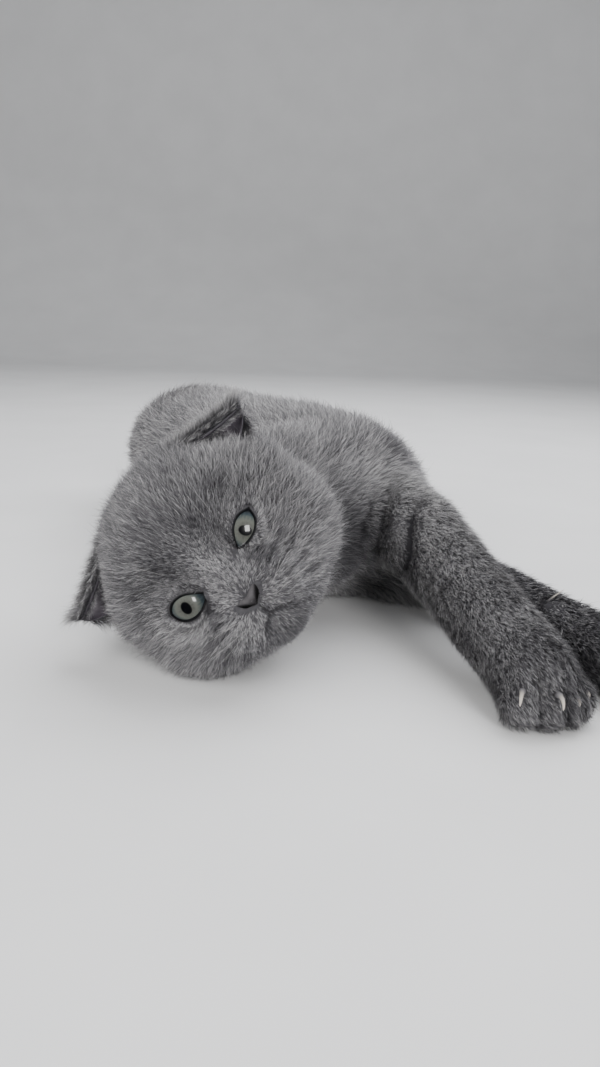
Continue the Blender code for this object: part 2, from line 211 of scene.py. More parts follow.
class Paint:
    """A material whose nodes are added by kind, settings and inputs."""

    def __init__(self, name, roughness=0.5, **constants):
        self.material = bpy.data.materials.new(name)
        self.material.use_nodes = True
        self.tree = self.material.node_tree
        self.shader = self.tree.nodes["Principled BSDF"]
        self.shader.inputs["Roughness"].default_value = roughness
        for key, value in constants.items():
            self.shader.inputs[key.replace("_", " ")].default_value = value

    def join(self, socket, value):
        if isinstance(value, Wire):
            self.tree.links.new(value.socket, socket)
        else:
            socket.default_value = value

    def add(self, kind, settings, inputs, output=0):
        """Adds a node, sets its settings and then its inputs, and gives one output as a wire."""
        node = self.tree.nodes.new(kind)
        stops = settings.pop("stops", None)
        for key, value in settings.items():
            setattr(node, key, value)
        if stops:
            while len(node.color_ramp.elements) < len(stops):
                node.color_ramp.elements.new(0.5)
            for element, (place, colour) in zip(node.color_ramp.elements, stops):
                element.position = place
                element.color = (*colour, 1.0)
        for key, value in inputs.items():
            self.join(node.inputs[key], value)
        return Wire(self, node.outputs[output])

    def attribute(self, name):
        return self.add("ShaderNodeAttribute", {"attribute_name": name}, {}, "Fac")

    def place(self):
        return self.add("ShaderNodeTexCoord", {}, {}, "Object")

    def noise(self, size, detail=3.0):
        """Noise of 0 to 1 whose lumps are about a size in millimetres."""
        return self.add("ShaderNodeTexNoise", {}, {"Vector": self.place(), "Scale": 1.0 / (size * MM), "Detail": detail})

    def colours(self, value, *stops):
        return self.add("ShaderNodeValToRGB", {"stops": stops}, {"Fac": value})

    def mixed(self, factor, first, second):
        """A colour between two colours, each a wire or three numbers."""
        first, second = [c if isinstance(c, Wire) else (*c, 1.0) for c in (first, second)]
        return self.add("ShaderNodeMix", {"data_type": "RGBA"}, {0: factor, 6: first, 7: second}, 2)

    def bump(self, height, depth):
        bumped = self.add("ShaderNodeBump", {}, {"Height": height, "Distance": depth * MM, "Strength": 1.0})
        self.join(self.shader.inputs["Normal"], bumped)

    def base(self, colour):
        self.join(self.shader.inputs["Base Color"], colour)
        return self.material


# Colour by level, dark to pale. The low end is painted shade: the shade deep in the coat at the hair roots, and on the
# skin under it.
COAT_STOPS = (
    (0.00, (0.018, 0.017, 0.020)),
    (0.30, (0.060, 0.058, 0.064)),
    (0.62, (0.165, 0.162, 0.170)),
    (1.00, (0.480, 0.474, 0.476)),
)


def coat_finish():
    """Hair: painted shade darkens each blade towards its root and it is pale at the tip, with its own tone, the coat's
    pattern and its painted light and shade.
    """
    paint = Paint("coat_hair", roughness=0.62, Specular_IOR_Level=0.35)
    shade = paint.attribute("shade")
    level = shade * (0.38 + 0.36 * paint.attribute("tone")) + 0.22 * paint.attribute("pale") * (0.3 + 0.7 * shade)
    level = level + (paint.noise(9.0) - 0.5) * 0.14 + 0.12
    return paint.base(paint.colours(level, *COAT_STOPS))


def skin_finish():
    """Skin under the hair: the same pattern and painted light and shade, its own grey darkened to the painted shade of
    the hair roots, with fine grain.
    """
    paint = Paint("skin", roughness=0.75)
    # The low base level is the skin's own grey darkened to the hair roots' painted shade.
    level = 0.22 + 0.16 * paint.attribute("pale") + (paint.noise(9.0) - 0.5) * 0.1 + (paint.noise(0.8) - 0.5) * 0.16
    paint.bump(paint.noise(0.5), 0.15)
    return paint.base(paint.colours(level, *COAT_STOPS))


# The coat's lie, length and thickness

# kind: length, how far it stands, hairs per square millimetre, width of a hair
COATS = {
    "ruff": (7.6, 0.70, 6.8, 0.19),
    "body": (8.5, 0.60, 2.9, 0.27),
    "rump": (8.5, 0.60, 2.8, 0.27),
    "arm": (5.8, 0.60, 8.0, 0.165),
    "shin": (4.0, 0.60, 11.0, 0.135),
    "paw": (2.7, 0.55, 13.0, 0.125),
    "under_arm": (6.0, 0.42, 3.8, 0.25),
    "under_shin": (4.4, 0.34, 5.2, 0.21),
    "under_paw": (2.7, 0.34, 6.8, 0.18),
    "haunch": (7.5, 0.50, 2.8, 0.27),
    "hock": (5.8, 0.42, 3.2, 0.26),
    "foot": (2.8, 0.34, 5.8, 0.20),
    "tail": (8.0, 0.55, 3.2, 0.27),
}
# name: start, end, radius at each, kind of coat. Hair lies from the start to the end.
LINES = {
    "neck": ((-20, 246, 34), (8, 290, 33), 27, 31, "ruff"),
    "chest": ((11, 302, 31), (-28, 366, 30), 34, 34, "body"),
    "loin": ((-28, 366, 30), (-60, 420, 28), 34, 30, "rump"),
    "left_arm": ((22, 292, 38), (40, 253, 32), 19.5, 14.5, "arm"),
    "left_forearm": ((40, 253, 32), (58, 209, 16), 14.5, 12.3, "shin"),
    "left_hand": ((58, 209, 16), (68.5, 185, 7), 12.3, 7, "paw"),
    "right_arm": ((22, 290, 18), (60, 267, 12), 19, 12, "under_arm"),
    "right_forearm": ((60, 267, 12), (92, 210, 10), 12, 11.2, "under_shin"),
    "right_hand": ((92, 210, 10), (102.5, 188.5, 7), 11.2, 7, "under_paw"),
    "left_thigh": ((-52, 402, 42), (-6, 400, 31), 22, 15, "haunch"),
    "left_shank": ((-6, 400, 31), (22, 450, 10), 14, 11, "hock"),
    "left_foot": ((22, 450, 10), (54, 440, 8), 11, 7, "foot"),
    "right_thigh": ((-50, 408, 18), (-22, 425, 13), 19, 13, "haunch"),
    "right_shank": ((-22, 425, 13), (-18, 468, 10), 13, 11, "hock"),
    "right_foot": ((-18, 468, 10), (20, 491, 8), 11, 7, "foot"),
    "tail_root": ((-68, 430, 22), (-74, 468, 9), 12, 10, "tail"),
    "tail_middle": ((-74, 468, 9), (-48, 507, 8), 10, 9.2, "tail"),
    "tail_tip": ((-48, 507, 8), (-6, 517, 6), 9.2, 6.5, "tail"),
}
# The neck's hair lies away from the face, and the upper foreleg's outward, rather than along their lines
FLOWS = {"neck": (0.10, 0.98, 0.15), "left_arm": (0.80, -0.50, -0.10)}
HEAD_BALL = (np.array((0.0, 2.0, 1.0)), 33.0)
# The rounded masses of the head, centre and half sizes, in its own axes. The last five are paired.
HEAD_MASSES = (
    ((0, 6, 7), (33.8, 32.4, 28.2)), ((0, -9, 11), (27, 21, 20)), ((0, -17.5, -12), (17, 15, 14)),
    ((0, -20, -4), (8, 13, 11)), ((0, -22, -23), (9.5, 9, 7)), ((0, -5, -16), (25, 22, 15)),
    ((17, -3, -7), (17.6, 20, 19.5)), ((20.5, -1, 4), (14.3, 19.5, 17)), ((13.5, -11.5, -12), (14, 13, 14)),
    ((6.3, -25.5, -16.5), (8.2, 8, 7.5)), ((12.5, -10.5, 11), (13, 13, 11)),
)
NOSE_TIP = np.array((0.0, -34.0, -12.0))
MUZZLE = np.array((0.0, -29.0, -16.0))


def along_line(points, line):
    """How far along a line each point lies, 0 to 1, the line's direction, and the distance beyond its radius."""
    start, end = np.array(line[0], float) + HOME, np.array(line[1], float) + HOME
    run = end - start
    t = np.clip((points - start) @ run / (run @ run), 0.0, 1.0)
    away = np.linalg.norm(points - start - t[:, None] * run, axis=1)
    return t, run / np.linalg.norm(run), away - (line[2] + (line[3] - line[2]) * t)


def head_distance(local):
    """How far points of the head's axes lie beyond its masses: the least of (r - 1) times a mass's mean size."""
    nearest = np.full(len(local), np.inf)
    for centre, size in HEAD_MASSES:
        for side in (1, -1) if centre[0] else (1,):
            reach = np.linalg.norm((local - np.array(centre) * (side, 1, 1)) / size, axis=1)
            nearest = np.minimum(nearest, (reach - 1.0) * np.mean(size))
    return nearest


EYE_SLANT = math.radians(21.0)
GAZE = {1: (0.13, -1.0, -0.06), -1: (-0.19, -1.0, -0.04)}


def eye_axes(side):
    """An eye's centre, gaze, long axis (rising outwards by the slant) and short axis, in the head's axes."""
    centre = EYE_PLACE * (side, 1, 1)
    gaze = unit(np.array(GAZE[side]))
    long_axis = np.array((side * math.cos(EYE_SLANT), 0.0, math.sin(EYE_SLANT)))
    long_axis = unit(long_axis - gaze * (gaze @ long_axis))
    short_axis = np.cross(long_axis, gaze) * side
    return centre, gaze, long_axis, short_axis * np.sign(short_axis[2])


# Outer and inner half length, upper and lower height, and the shift from the pupil
OPENING = {1: (5.5, 5.9, 2.75, 2.5, 0.7, 0.35), -1: (5.9, 6.3, 3.4, 3.2, -0.25, -0.15)}


def eye_radius(cosine):
    """The eyeball's radius by the cosine of the angle from the gaze: the cornea bulges by 0.7 mm."""
    return EYE_RADIUS - 0.25 + 0.7 * ramp(cosine, math.cos(math.radians(50)), math.cos(math.radians(20)))


def opening_shape(x, side):
    """The opening's height at x as a share of its greatest: 1 - (|x| / half length)^n, sharper inwards."""
    outer, inner = OPENING[side][:2]
    return (np.abs(x) / np.where(x > 0.0, outer, inner)) ** np.where(x > 0.0, 2.4, 1.7)


def opening_measure(x, z, side):
    """1 on the edge between the lids, less inside it and more outside."""
    _, _, upper, lower, shift_x, shift_z = OPENING[side]
    x, z = x - shift_x, z - shift_z
    return np.abs(z) / np.where(z > 0.0, upper, lower) + opening_shape(x, side)


def eye_measure(local, side):
    """The opening's measure for points of the head, their distance from the eyeball's middle, its radius there,
    and how far below the opening's middle they lie."""
    centre, gaze, long_axis, short_axis = eye_axes(side)
    offset = local - centre
    radius = np.linalg.norm(offset, axis=1)
    onto = offset / np.maximum(radius, 1e-6)[:, None]
    ball = eye_radius(onto @ gaze)
    x, z = ball * (onto @ long_axis), ball * (onto @ short_axis)
    measure = opening_measure(x, z, side)
    return np.where(onto @ gaze > 0.0, measure, 9.0), radius, ball, np.stack((x, z), axis=1)


def mouth_height(x):
    """The mouth line's height: it falls from the middle to the corners as 0.28 |x| + 0.065 x^2."""
    return -18.3 - 0.28 * np.abs(x) - 0.065 * x * x


def mouth_depth(local):
    """How deep the groove under the nose and the mouth line are cut, 0 to 1."""
    x, y, z = local.T
    front = ramp(-y, 18.0, 24.0)
    groove = bell(x, 0.55) * ramp(z, -18.8, -18.0) * (1.0 - ramp(z, -16.0, -15.0))
    line = bell(z - mouth_height(x), 0.55) * (1.0 - ramp(np.abs(x), 2.5, 6.0))
    return np.maximum(groove, line) * front


def head_coat(local):
    """Length, stand, density and width of the head's hair: short at the nose and eyes, long behind."""
    nearest = local[:, 2].clip(MUZZLE[2], 4.0)[:, None] * (0, 0, 1) + MUZZLE * (0, 1, 0)
    length = 1.4 + 5.4 * ramp(np.linalg.norm(local - nearest, axis=1), 2.0, 40.0)
    for side in (-1, 1):
        measure, radius, ball, _ = eye_measure(local, side)
        beyond = np.linalg.norm(local - (EYE_PLACE * (side, 1, 1) + (side * 0.6, -7.4, 0.3)), axis=1)
        near = 0.9 + 0.8 * np.maximum(measure - 1.0, 0.0) + 0.8 * np.maximum(beyond - 7.0, 0.0)
        length = np.minimum(length, near)
        ear = np.linalg.norm((local - (side * 26.0, -9.0, 22.0)) / (11.0, 7.0, 7.0), axis=1)
        length = length * (1.0 - 0.5 * bell(ear, 1.0))
    front = local[:, 1] < -22.0
    beside = np.abs(local[:, 2] - mouth_height(local[:, 0])) + np.maximum(np.abs(local[:, 0]) - 8.0, 0.0)
    length = np.where(front, np.minimum(length, 0.8 + 0.4 * beside), length)
    fine = 1.0 - ramp(length, 1.2, 6.0)
    return length, 0.82 - 0.42 * fine, 12.0 + 9.0 * fine, 0.160 - 0.040 * fine


NOSE_HEIGHT = -12.9


def nose_reach(turn):
    """How far the nose leather reaches from its middle at an angle: a triangle, its point down."""
    angles = (-90.0, -70.0, -50.0, -30.0, -10.0, 5.0, 20.0, 32.0, 45.0, 65.0, 90.0)
    reaches = (2.9, 2.6, 2.6, 3.1, 4.5, 5.9, 6.7, 6.1, 4.3, 2.8, 2.2)
    return np.interp(np.degrees(np.arcsin(np.sin(turn))), angles, reaches)


# A paw's last two stations, and how far its four toes lie to the side of the last one
PAWS = {
    "left_hand": ((61.5, 203, 13.4), (64, 195, 11.2), (-9.0, -0.9, 5.7, 10.5)),
    "right_hand": ((96, 203, 10.2), (99, 197, 10.1), (-8.6, -2.9, 2.9, 8.6)),
    "left_foot": ((37, 447, 9.9), (46, 443, 10.1), (-8.0, -2.7, 2.7, 8.0)),
    "right_foot": ((0, 480, 9.9), (13, 487, 10.1), (-8.0, -2.7, 2.7, 8.0)),
}
TOE_HEIGHT = 6.1
TOE_REACHES = (5.5, 8.5, 8.5, 5.5)


def paw_axes(name):
    """A paw's last station, its level directions ahead and across, and its toes' places across."""
    before, last, spreads = PAWS[name]
    run = np.array(last, float) - np.array(before, float)
    ahead = unit(run * (1, 1, 0))
    return np.array(last, float) + HOME, ahead, np.cross((0, 0, 1), ahead), np.array(spreads)


def toe_clefts(points):
    """How near points are to the clefts between a paw's toes, 0 to 1."""
    near = np.zeros(len(points))
    for name in PAWS:
        last, ahead, across, spreads = paw_axes(name)
        offset = points - last
        forward, aside = offset @ ahead, offset @ across
        for cleft in (spreads[1:] + spreads[:-1]) / 2.0:
            line = bell(aside - cleft, 0.9)
            near = np.maximum(near, line * ramp(forward, 2.0, 6.5) * (forward < 20.0))
    return near


# Each claw of the left forepaw: how far its root lies to the side, and how far it turns to the side
CLAW_TURNS = {"left_hand": ((2.1, -0.78), (-0.8, 0.05), (-0.8, 0.3), (-0.8, 0.4))}


def claw_path(name, toe, steps=12):
    """A toe's claw: it leaves the top of the toe ahead, then hooks down before it."""
    last, ahead, across, spreads = paw_axes(name)
    aside, turn = CLAW_TURNS[name][toe] if name in CLAW_TURNS else (0.0, 0.04 * spreads[toe])
    place = last + across * (spreads[toe] + aside) + ahead * TOE_REACHES[toe]
    place[2] = TOE_HEIGHT
    ahead = unit(ahead + across * turn)
    out = 0.5 if name == "left_hand" and toe > 1 else 0.95
    forward = np.interp(np.linspace(0, 4, steps), range(5), (3.0, 5.0, 6.3, 6.9, 7.0))
    height = np.interp(np.linspace(0, 4, steps), range(5), (6.2, 6.9, 6.2, 4.9, 3.5))
    return place + out * (forward[:, None] * ahead + height[:, None] * np.array((0.0, 0.0, 1.0)))


CLAWS = {f"claw_{side}_fore_{toe + 1}": claw_path(f"{side}_hand", toe) for side in ("left", "right") for toe in range(4)}
CLAWS["claw_right_dew"] = HOME + np.array((
    (76.2, 230.5, 19), (76.6, 229.8, 20.2), (77.6, 229.4, 21.4), (78.8, 229.3, 22.5), (80.0, 229.5, 23.4), (81.0, 229.7, 24.0),
))


def claw_distance(points):
    """The distance to the nearest claw that shows. The left paw's last two are half hidden in the coat."""
    nearest = np.full(len(points), np.inf)
    for path in [path for name, path in CLAWS.items() if name not in ("claw_left_fore_3", "claw_left_fore_4")]:
        for spot in path[::2]:
            nearest = np.minimum(nearest, np.linalg.norm(points - spot, axis=1))
    return nearest


# A crease's place along X, and the height above which it bends forward
FOLDS = ((18.2, 30.0), (25.2, 31.0), (34.0, 32.0))


def fold_region(points):
    """1 in the middle of the folded skin of the left shoulder, less away from it."""
    x, y, z = (points - HOME).T
    offset = np.stack(((x - 28.5) / 11.0, (y - 245.0) / 17.0, (z - 35.0) / 13.0), axis=1)
    return bell(np.linalg.norm(offset, axis=1), 1.0)


def shoulder_folds(points):
    """How near points are to the creases of loose skin across the upper foreleg, 0 to 1."""
    x, y, z = (points - HOME).T
    near = np.zeros(len(points))
    for place, bend in FOLDS:
        line = x - place - 0.022 * np.maximum(z - bend, 0.0) ** 2 - 0.35 * np.sin(z / 2.7 + place)
        near = np.maximum(near, bell(line, 1.7))
    return near * fold_region(points)


def coat_fields(points):
    """Length, stand, density, width, direction and nearest line of the hair at points of the surface.

    Each line and the head give their own values. They are mixed by exp(-d / 4.5 mm), where d is
    how much further a point is from a line's surface than from the nearest one's.
    """
    names = list(LINES)
    local = to_head(points)
    distances = [head_distance(local)]
    values = [np.stack(head_coat(local), axis=1)]
    away = unit(local - NOSE_TIP)
    for side in (-1, 1):
        measure, radius, ball, flat = eye_measure(local, side)
        _, _, long_axis, short_axis = eye_axes(side)
        outward = unit(flat - np.array(OPENING[side][4:]))
        outward = outward[:, :1] * long_axis + outward[:, 1:] * short_axis
        near = 2.0 * bell(np.maximum(measure - 1.0, 0.0), 1.2) * (1.0 - ramp(radius - ball, 0.5, 3.0))
        away = away + outward * near[:, None]
    directions = [unit(away) @ HEAD_TURN.T]
    for name in names:
        _, direction, distance = along_line(points, LINES[name])
        distances.append(distance)
        values.append(np.broadcast_to(COATS[LINES[name][4]], (len(points), 4)))
        directions.append(np.broadcast_to(FLOWS.get(name, direction), (len(points), 3)))
    distances = np.array(distances)
    weights = np.exp(-(distances - distances.min(axis=0)) / 4.5)
    weights /= weights.sum(axis=0)
    mixed = sum(w[:, None] * v for w, v in zip(weights, values))
    flow = sum(w[:, None] * d for w, d in zip(weights, directions))
    mixed[:, 0] = np.minimum(mixed[:, 0], 1.0 + 0.55 * np.maximum(claw_distance(points) - 0.5, 0.0))
    region = fold_region(points)
    mixed[:, 0] *= 1.0 - 0.55 * region - 0.35 * shoulder_folds(points)
    mixed[:, 1] *= 1.0 - 0.3 * region
    mixed[:, 2] *= 1.0 + 0.3 * region
    skirt = bell(np.linalg.norm((points - HOME - (27.0, 272.0, 6.0)) / (18.0, 12.0, 9.0), axis=1), 1.0)
    mixed[:, 0] += 3.0 * skirt
    flow = flow + (2.5 * skirt)[:, None] * np.array((0.1, -0.75, -0.5))
    return mixed, flow, distances.argmin(axis=0)


def throat(points):
    """How near points are to the groove where the head's surface meets the neck's, 0 to 1, faint at the nape."""
    head = head_distance(to_head(points))
    rest = np.min([along_line(points, LINES[name])[2] for name in ("neck", "chest", "left_arm", "right_arm")], axis=0)
    nape = ramp(to_head(points)[:, 2], 0.0, 14.0)
    return bell(head - rest, 2.6) * bell(np.maximum(head, 0.0), 9.0) * (1.0 - 0.85 * nape)


def lid_crease(flat):
    """How near points before an eye are to the crease below its inner corner, and to its pale outer edge, 0 to 1."""
    nearest = np.full(len(flat), np.inf)
    for t in np.linspace(0.0, 1.0, 9):
        spot = np.array((-6.2 + 3.2 * t, -0.9 - 2.2 * t - 2.2 * t * t))
        nearest = np.minimum(nearest, np.linalg.norm(flat - spot, axis=1))
    return bell(nearest, 0.6), bell(nearest - 1.3, 0.5)


# A mark of the face's left, in the head's axes: its centre, its extents and how much paler it is
FACE_MARKS = (
    ((4.0, -28.0, -26.0), (8.0, 9.0, 7.0), -0.8),
    ((1.5, -27.0, -2.0), (4.5, 12.0, 8.0), 0.55),
    ((6.0, -22.0, 16.0), (12.0, 14.0, 11.0), -0.35),
    ((14.0, 8.0, 26.0), (22.0, 20.0, 14.0), -0.7),
    ((2.0, -28.0, 5.0), (4.0, 8.0, 4.5), 0.5),
    ((7.5, -26.0, 5.0), (2.5, 8.0, 5.0), -0.5),
    ((4.0, -29.0, -8.5), (3.5, 6.0, 2.5), 0.6),
    ((10.0, -26.0, -9.5), (3.5, 6.0, 3.5), -0.7),
    ((5.5, -31.0, -15.0), (4.0, 6.0, 3.5), 1.1),
    ((8.0, -26.0, -18.0), (7.0, 9.0, 5.0), 0.5),
)


def markings_and_painted_shading(points):
    """How pale the coat is, about -1 to 1: its pattern round the face's features and down the legs, and painted shade
    and light in creases, on the neck, the shoulder, the legs and the paws.
    """
    local = to_head(points)
    x, y, z = local.T
    pale = 0.22 * waves(points, 24.0, 3) + 0.2 * waves(points, 5.0, 4)
    for side in (-1, 1):
        measure, radius, ball, flat = eye_measure(local, side)
        lower = 1.0 - ramp(flat[:, 1], -1.5, 1.0)
        crease, edge = lid_crease(flat)
        lid = bell(measure - 1.8, 0.6) * (0.35 + 0.65 * lower)
        pale = pale + (1.3 * lid + 0.8 * edge - 1.8 * crease) * (1.0 - ramp(radius - ball, 2.5, 5.0))
        side_stripe = np.arctan2(z + 14.0, np.abs(x))
        ring = np.linalg.norm((local - (side * 12.0, -27.0, -14.0)) / (7.0, 14.0, 9.0), axis=1)
        pale = pale - 2.0 * bell(ring, 1.0) * ramp(np.sin(side_stripe * 24.0), 0.1, 0.9)
        for place, extents, change in FACE_MARKS:
            away = np.linalg.norm((local - np.array(place) * (side, 1, 1)) / extents, axis=1)
            pale = pale + change * bell(away, 1.0)
    # Painted shade: darker on the neck behind the cheek, in the groove where the head meets the neck, and in the clefts
    # between the toes. The mouth line and the groove under the nose are darker as well.
    hollow = np.linalg.norm((points - HOME - (14.0, 251.0, 29.0)) / (11.0, 14.0, 13.0), axis=1)
    pale = pale - 2.6 * mouth_depth(local) - 0.5 * throat(points) - 2.8 * bell(hollow, 1.0) - 1.2 * toe_clefts(points)
    # Painted shade in the creases of the shoulder's folded skin, on top of the sunk creases.
    pale = pale + 0.1 * fold_region(points) - 5.0 * shoulder_folds(points)
    # Painted light on the upper foreleg where the hair roots show, and painted shade over the highlight on the top of
    # the shoulder.
    for place, change in (((36.0, 260.0, 48.0), 1.7), ((31.0, 284.0, 56.0), -2.4)):
        pale = pale + change * bell(np.linalg.norm((points - HOME - place) / (10.0, 13.0, 9.0), axis=1), 1.0)
    pale = pale - 0.5 * (1.0 - ramp(head_distance(local), 0.0, 6.0))
    # Painted light on the left upper foreleg and forearm, where the hair roots show, and painted shade on the neck, the
    # left forepaw and the right forearm and paw.
    for name, change in (("neck", -0.3), ("left_arm", 0.8), ("left_forearm", 0.5), ("left_hand", -0.5), ("right_forearm", -0.3), ("right_hand", -0.6)):
        pale = pale + change * (1.0 - ramp(along_line(points, LINES[name])[2], 0.0, 6.0))
    return pale


# The skin


class Surface:
    """Points and quads with what is worked out from them."""

    def __init__(self, points, faces):
        self.points = points
        self.faces = faces
        sides = np.concatenate([faces[:, [i, (i + 1) % 4]] for i in range(4)])
        self.edges = np.unique(np.sort(sides, axis=1), axis=0)
        self.links = np.bincount(self.edges.ravel(), minlength=len(points))

    def averaged(self, values):
        """At each point, the mean of the values of the points joined to it by an edge."""
        first, second = self.edges.T
        total = np.empty_like(values)
        for i in range(values.shape[1]):
            total[:, i] = np.bincount(first, values[second, i], len(values)) + np.bincount(second, values[first, i], len(values))
        return total / self.links[:, None]

    def smooth(self, values, rounds):
        for _ in range(rounds):
            values = 0.5 * values + 0.5 * self.averaged(values)
        return values

    def face_normals(self):
        a, b, c, d = (self.points[self.faces[:, i]] for i in range(4))
        return np.cross(c - a, d - b) / 2.0

    def normals(self):
        """At each point, the unit sum of the area-weighted normals of its faces."""
        flat = self.face_normals()
        total = np.zeros_like(self.points)
        for i in range(3):
            for corner in range(4):
                total[:, i] += np.bincount(self.faces[:, corner], flat[:, i], len(self.points))
        return unit(total)


def melted_flesh():
    """The solids of flesh, with eyes and nose to fill their seats, swollen to touch and melted into one."""
    shell = bmesh.new()
    for name in FLESH + ("eye_left", "eye_right", "nose"):
        shell.from_mesh(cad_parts[name].data)
    bmesh.ops.remove_doubles(shell, verts=shell.verts, dist=0.01 * MM)
    shell.normal_update()
    for vertex in shell.verts:
        vertex.co += vertex.normal * (SWELL * MM)
    mesh = bpy.data.meshes.new("flesh")
    shell.to_mesh(mesh)
    shell.free()
    flesh = bpy.data.objects.new("flesh", mesh)
    bpy.context.scene.collection.objects.link(flesh)
    melt = flesh.modifiers.new("melt", "REMESH")
    melt.mode = "VOXEL"
    melt.voxel_size = VOXEL * MM
    bpy.context.view_layer.update()
    melted = flesh.evaluated_get(bpy.context.evaluated_depsgraph_get()).to_mesh()
    points = np.empty(len(melted.vertices) * 3, np.float32)
    melted.vertices.foreach_get("co", points)
    corners = np.empty(len(melted.loops), np.int32)
    melted.loops.foreach_get("vertex_index", corners)
    bpy.data.objects.remove(flesh)
    return Surface(points.reshape(-1, 3).astype(float) / MM, corners.reshape(-1, 4))


def shape_lids(points):
    """Sinks the skin behind each eyeball inside the opening and seats it round the ball outside it."""
    local = to_head(points)
    for side in (-1, 1):
        measure, radius, ball, _ = eye_measure(local, side)
        seat = ball - 1.6 + 1.9 * ramp(measure, 1.05, 1.45)
        keep = ramp(measure, 1.8, 4.2)
        wanted = np.where(measure < 9.0, (1.0 - keep) * seat + keep * np.maximum(radius, seat), radius)
        wanted = np.where(radius < EYE_RADIUS + 9.0, wanted, radius)
        centre = EYE_PLACE * (side, 1, 1)
        local = centre + (local - centre) * (wanted / radius)[:, None]
    return from_head(local)


def shape_grooves(points, normals):
    """Cuts the mouth line, the nose's seat, the throat, the folds of the shoulder and the clefts between toes."""
    sunk = 1.2 * mouth_depth(to_head(points)) + 2.6 * throat(points)
    x, y, z = to_head(points).T
    share = np.hypot(x, z - NOSE_HEIGHT) / nose_reach(np.arctan2(z - NOSE_HEIGHT, x))
    sunk = sunk + 2.0 * (1.0 - ramp(share, 0.40, 0.80)) * (y < -24.0)
    sunk = sunk + 3.2 * shoulder_folds(points) + 1.8 * toe_clefts(points)
    return points - normals * sunk[:, None]


def build_skin():
    """The skin surface and the hair's fields at its points."""
    surface = melted_flesh()
    surface.points = surface.smooth(surface.points, 10)
    bridge = bell(np.linalg.norm(to_head(surface.points) - (0.0, -27.0, 4.0), axis=1), 11.0)[:, None]
    for _ in range(60):
        surface.points += 0.7 * bridge * (surface.averaged(surface.points) - surface.points)
    fields, flow, nearest = coat_fields(surface.points)
    normals = unit(surface.smooth(surface.normals(), 4))
    depth = DEPTH_OF_LENGTH * fields[:, 0]
    resting = (1.0 - ramp(surface.points[:, 2], 0.5, 4.0)) * ramp(-normals[:, 2], 0.3, 0.8)
    depth = depth * (1.0 - 0.75 * resting)
    surface.points = surface.smooth(surface.points - normals * depth[:, None], 3)
    surface.points = shape_lids(surface.points)
    surface.points = shape_grooves(surface.points, unit(surface.smooth(surface.normals(), 2)))
    return surface, fields, flow, nearest


# The coat


def tuft_blades(roots, normals, flows, fields):
    """Blades in tufts. Each tuft has one lie, and its blades' tips draw together.

    A blade leaves its root at a steep angle, bends over at half its length and ends in a point
    at a flatter angle. Its five points are the root's two, the bend's two and the tip.
    """
    count = len(roots)
    length, stand, density, width = fields.T
    normals = unit(normals)
    flows = unit(flows - normals * (flows * normals).sum(axis=1, keepdims=True))
    loose = 0.5 + 0.5 * ramp(length, 2.0, 7.0)
    turn = loose * (rng.normal(0.0, 0.16, count) + 0.16 * waves(roots, 12.0, 5) + 0.12 * waves(roots, 4.5, 6))
    sides = np.cross(normals, flows)
    ahead = flows * np.cos(turn)[:, None] + sides * np.sin(turn)[:, None]
    rise = stand + rng.normal(0.0, 0.08, count) + 0.08 * waves(roots, 7.0, 7)

    def spread(values):
        return np.repeat(values, TUFT, axis=0)

    total = count * TUFT
    ahead, normals, roots, rise = spread(ahead), spread(normals), spread(roots), spread(rise)
    ahead = unit(ahead + (0.24 * spread(loose))[:, None] * rng.normal(size=(total, 3)))
    ahead = unit(ahead - normals * (ahead * normals).sum(axis=1, keepdims=True))
    sides = np.cross(normals, ahead)
    reach = spread(0.75 * np.sqrt(TUFT / density)) * np.sqrt(rng.random(total))
    angle = rng.uniform(0.0, 2.0 * math.pi, total)
    offset = ahead * (reach * np.cos(angle))[:, None] + sides * (reach * np.sin(angle))[:, None]
    guard = rng.random(total) < 0.09
    long = spread(length) * np.clip(1.0 + 0.17 * rng.normal(size=total), 0.5, 1.5) * np.where(guard, 1.25, 1.0)
    wide = spread(width) * np.where(guard, 0.6, 1.0) * rng.uniform(0.75, 1.25, total)
    steep = np.clip(0.62 + 0.75 * rise + 0.10 * rng.normal(size=total), 0.15, 1.45)
    flat = np.clip(steep - 0.62 + 0.12 * rng.normal(size=total), -0.05, 1.2)
    sway = 0.06 * spread(loose) * rng.normal(size=total)

    root = roots + offset - normals * 0.25
    half = (long / 2.0)[:, None]
    bend = root + half * (ahead * np.cos(steep)[:, None] + normals * np.sin(steep)[:, None])
    bend = bend + sides * (sway * long)[:, None] - 0.10 * offset
    tip = bend + half * (ahead * np.cos(flat)[:, None] + normals * np.sin(flat)[:, None])
    tip = tip + sides * (2.2 * sway * long)[:, None] - 0.20 * offset
    twist = rng.normal(0.0, 0.45, total)
    edge = sides * np.cos(twist)[:, None] + normals * np.sin(twist)[:, None]
    edge = edge * (wide / 2.0)[:, None]
    points = np.stack((root - edge, root + edge, bend - 0.85 * edge, bend + 0.85 * edge, tip), axis=1)
    lowest = 0.12 + 0.25 * rng.random(total)
    points[:, :, 2] = np.maximum(points[:, :, 2], lowest[:, None])
    tone = np.clip(1.0 + 0.68 * rng.normal(size=total) + np.where(guard, 0.7, 0.0), -0.2, 3.0)
    return points, tone, spread(np.arange(count))


BLADE_FACES = np.array(((0, 1, 3), (0, 3, 2), (2, 3, 4)))
PATCH = 0.0015 * np.array(((-1, -1), (1, -1), (-0.8, 0), (0.8, 0), (0, 1)), float)


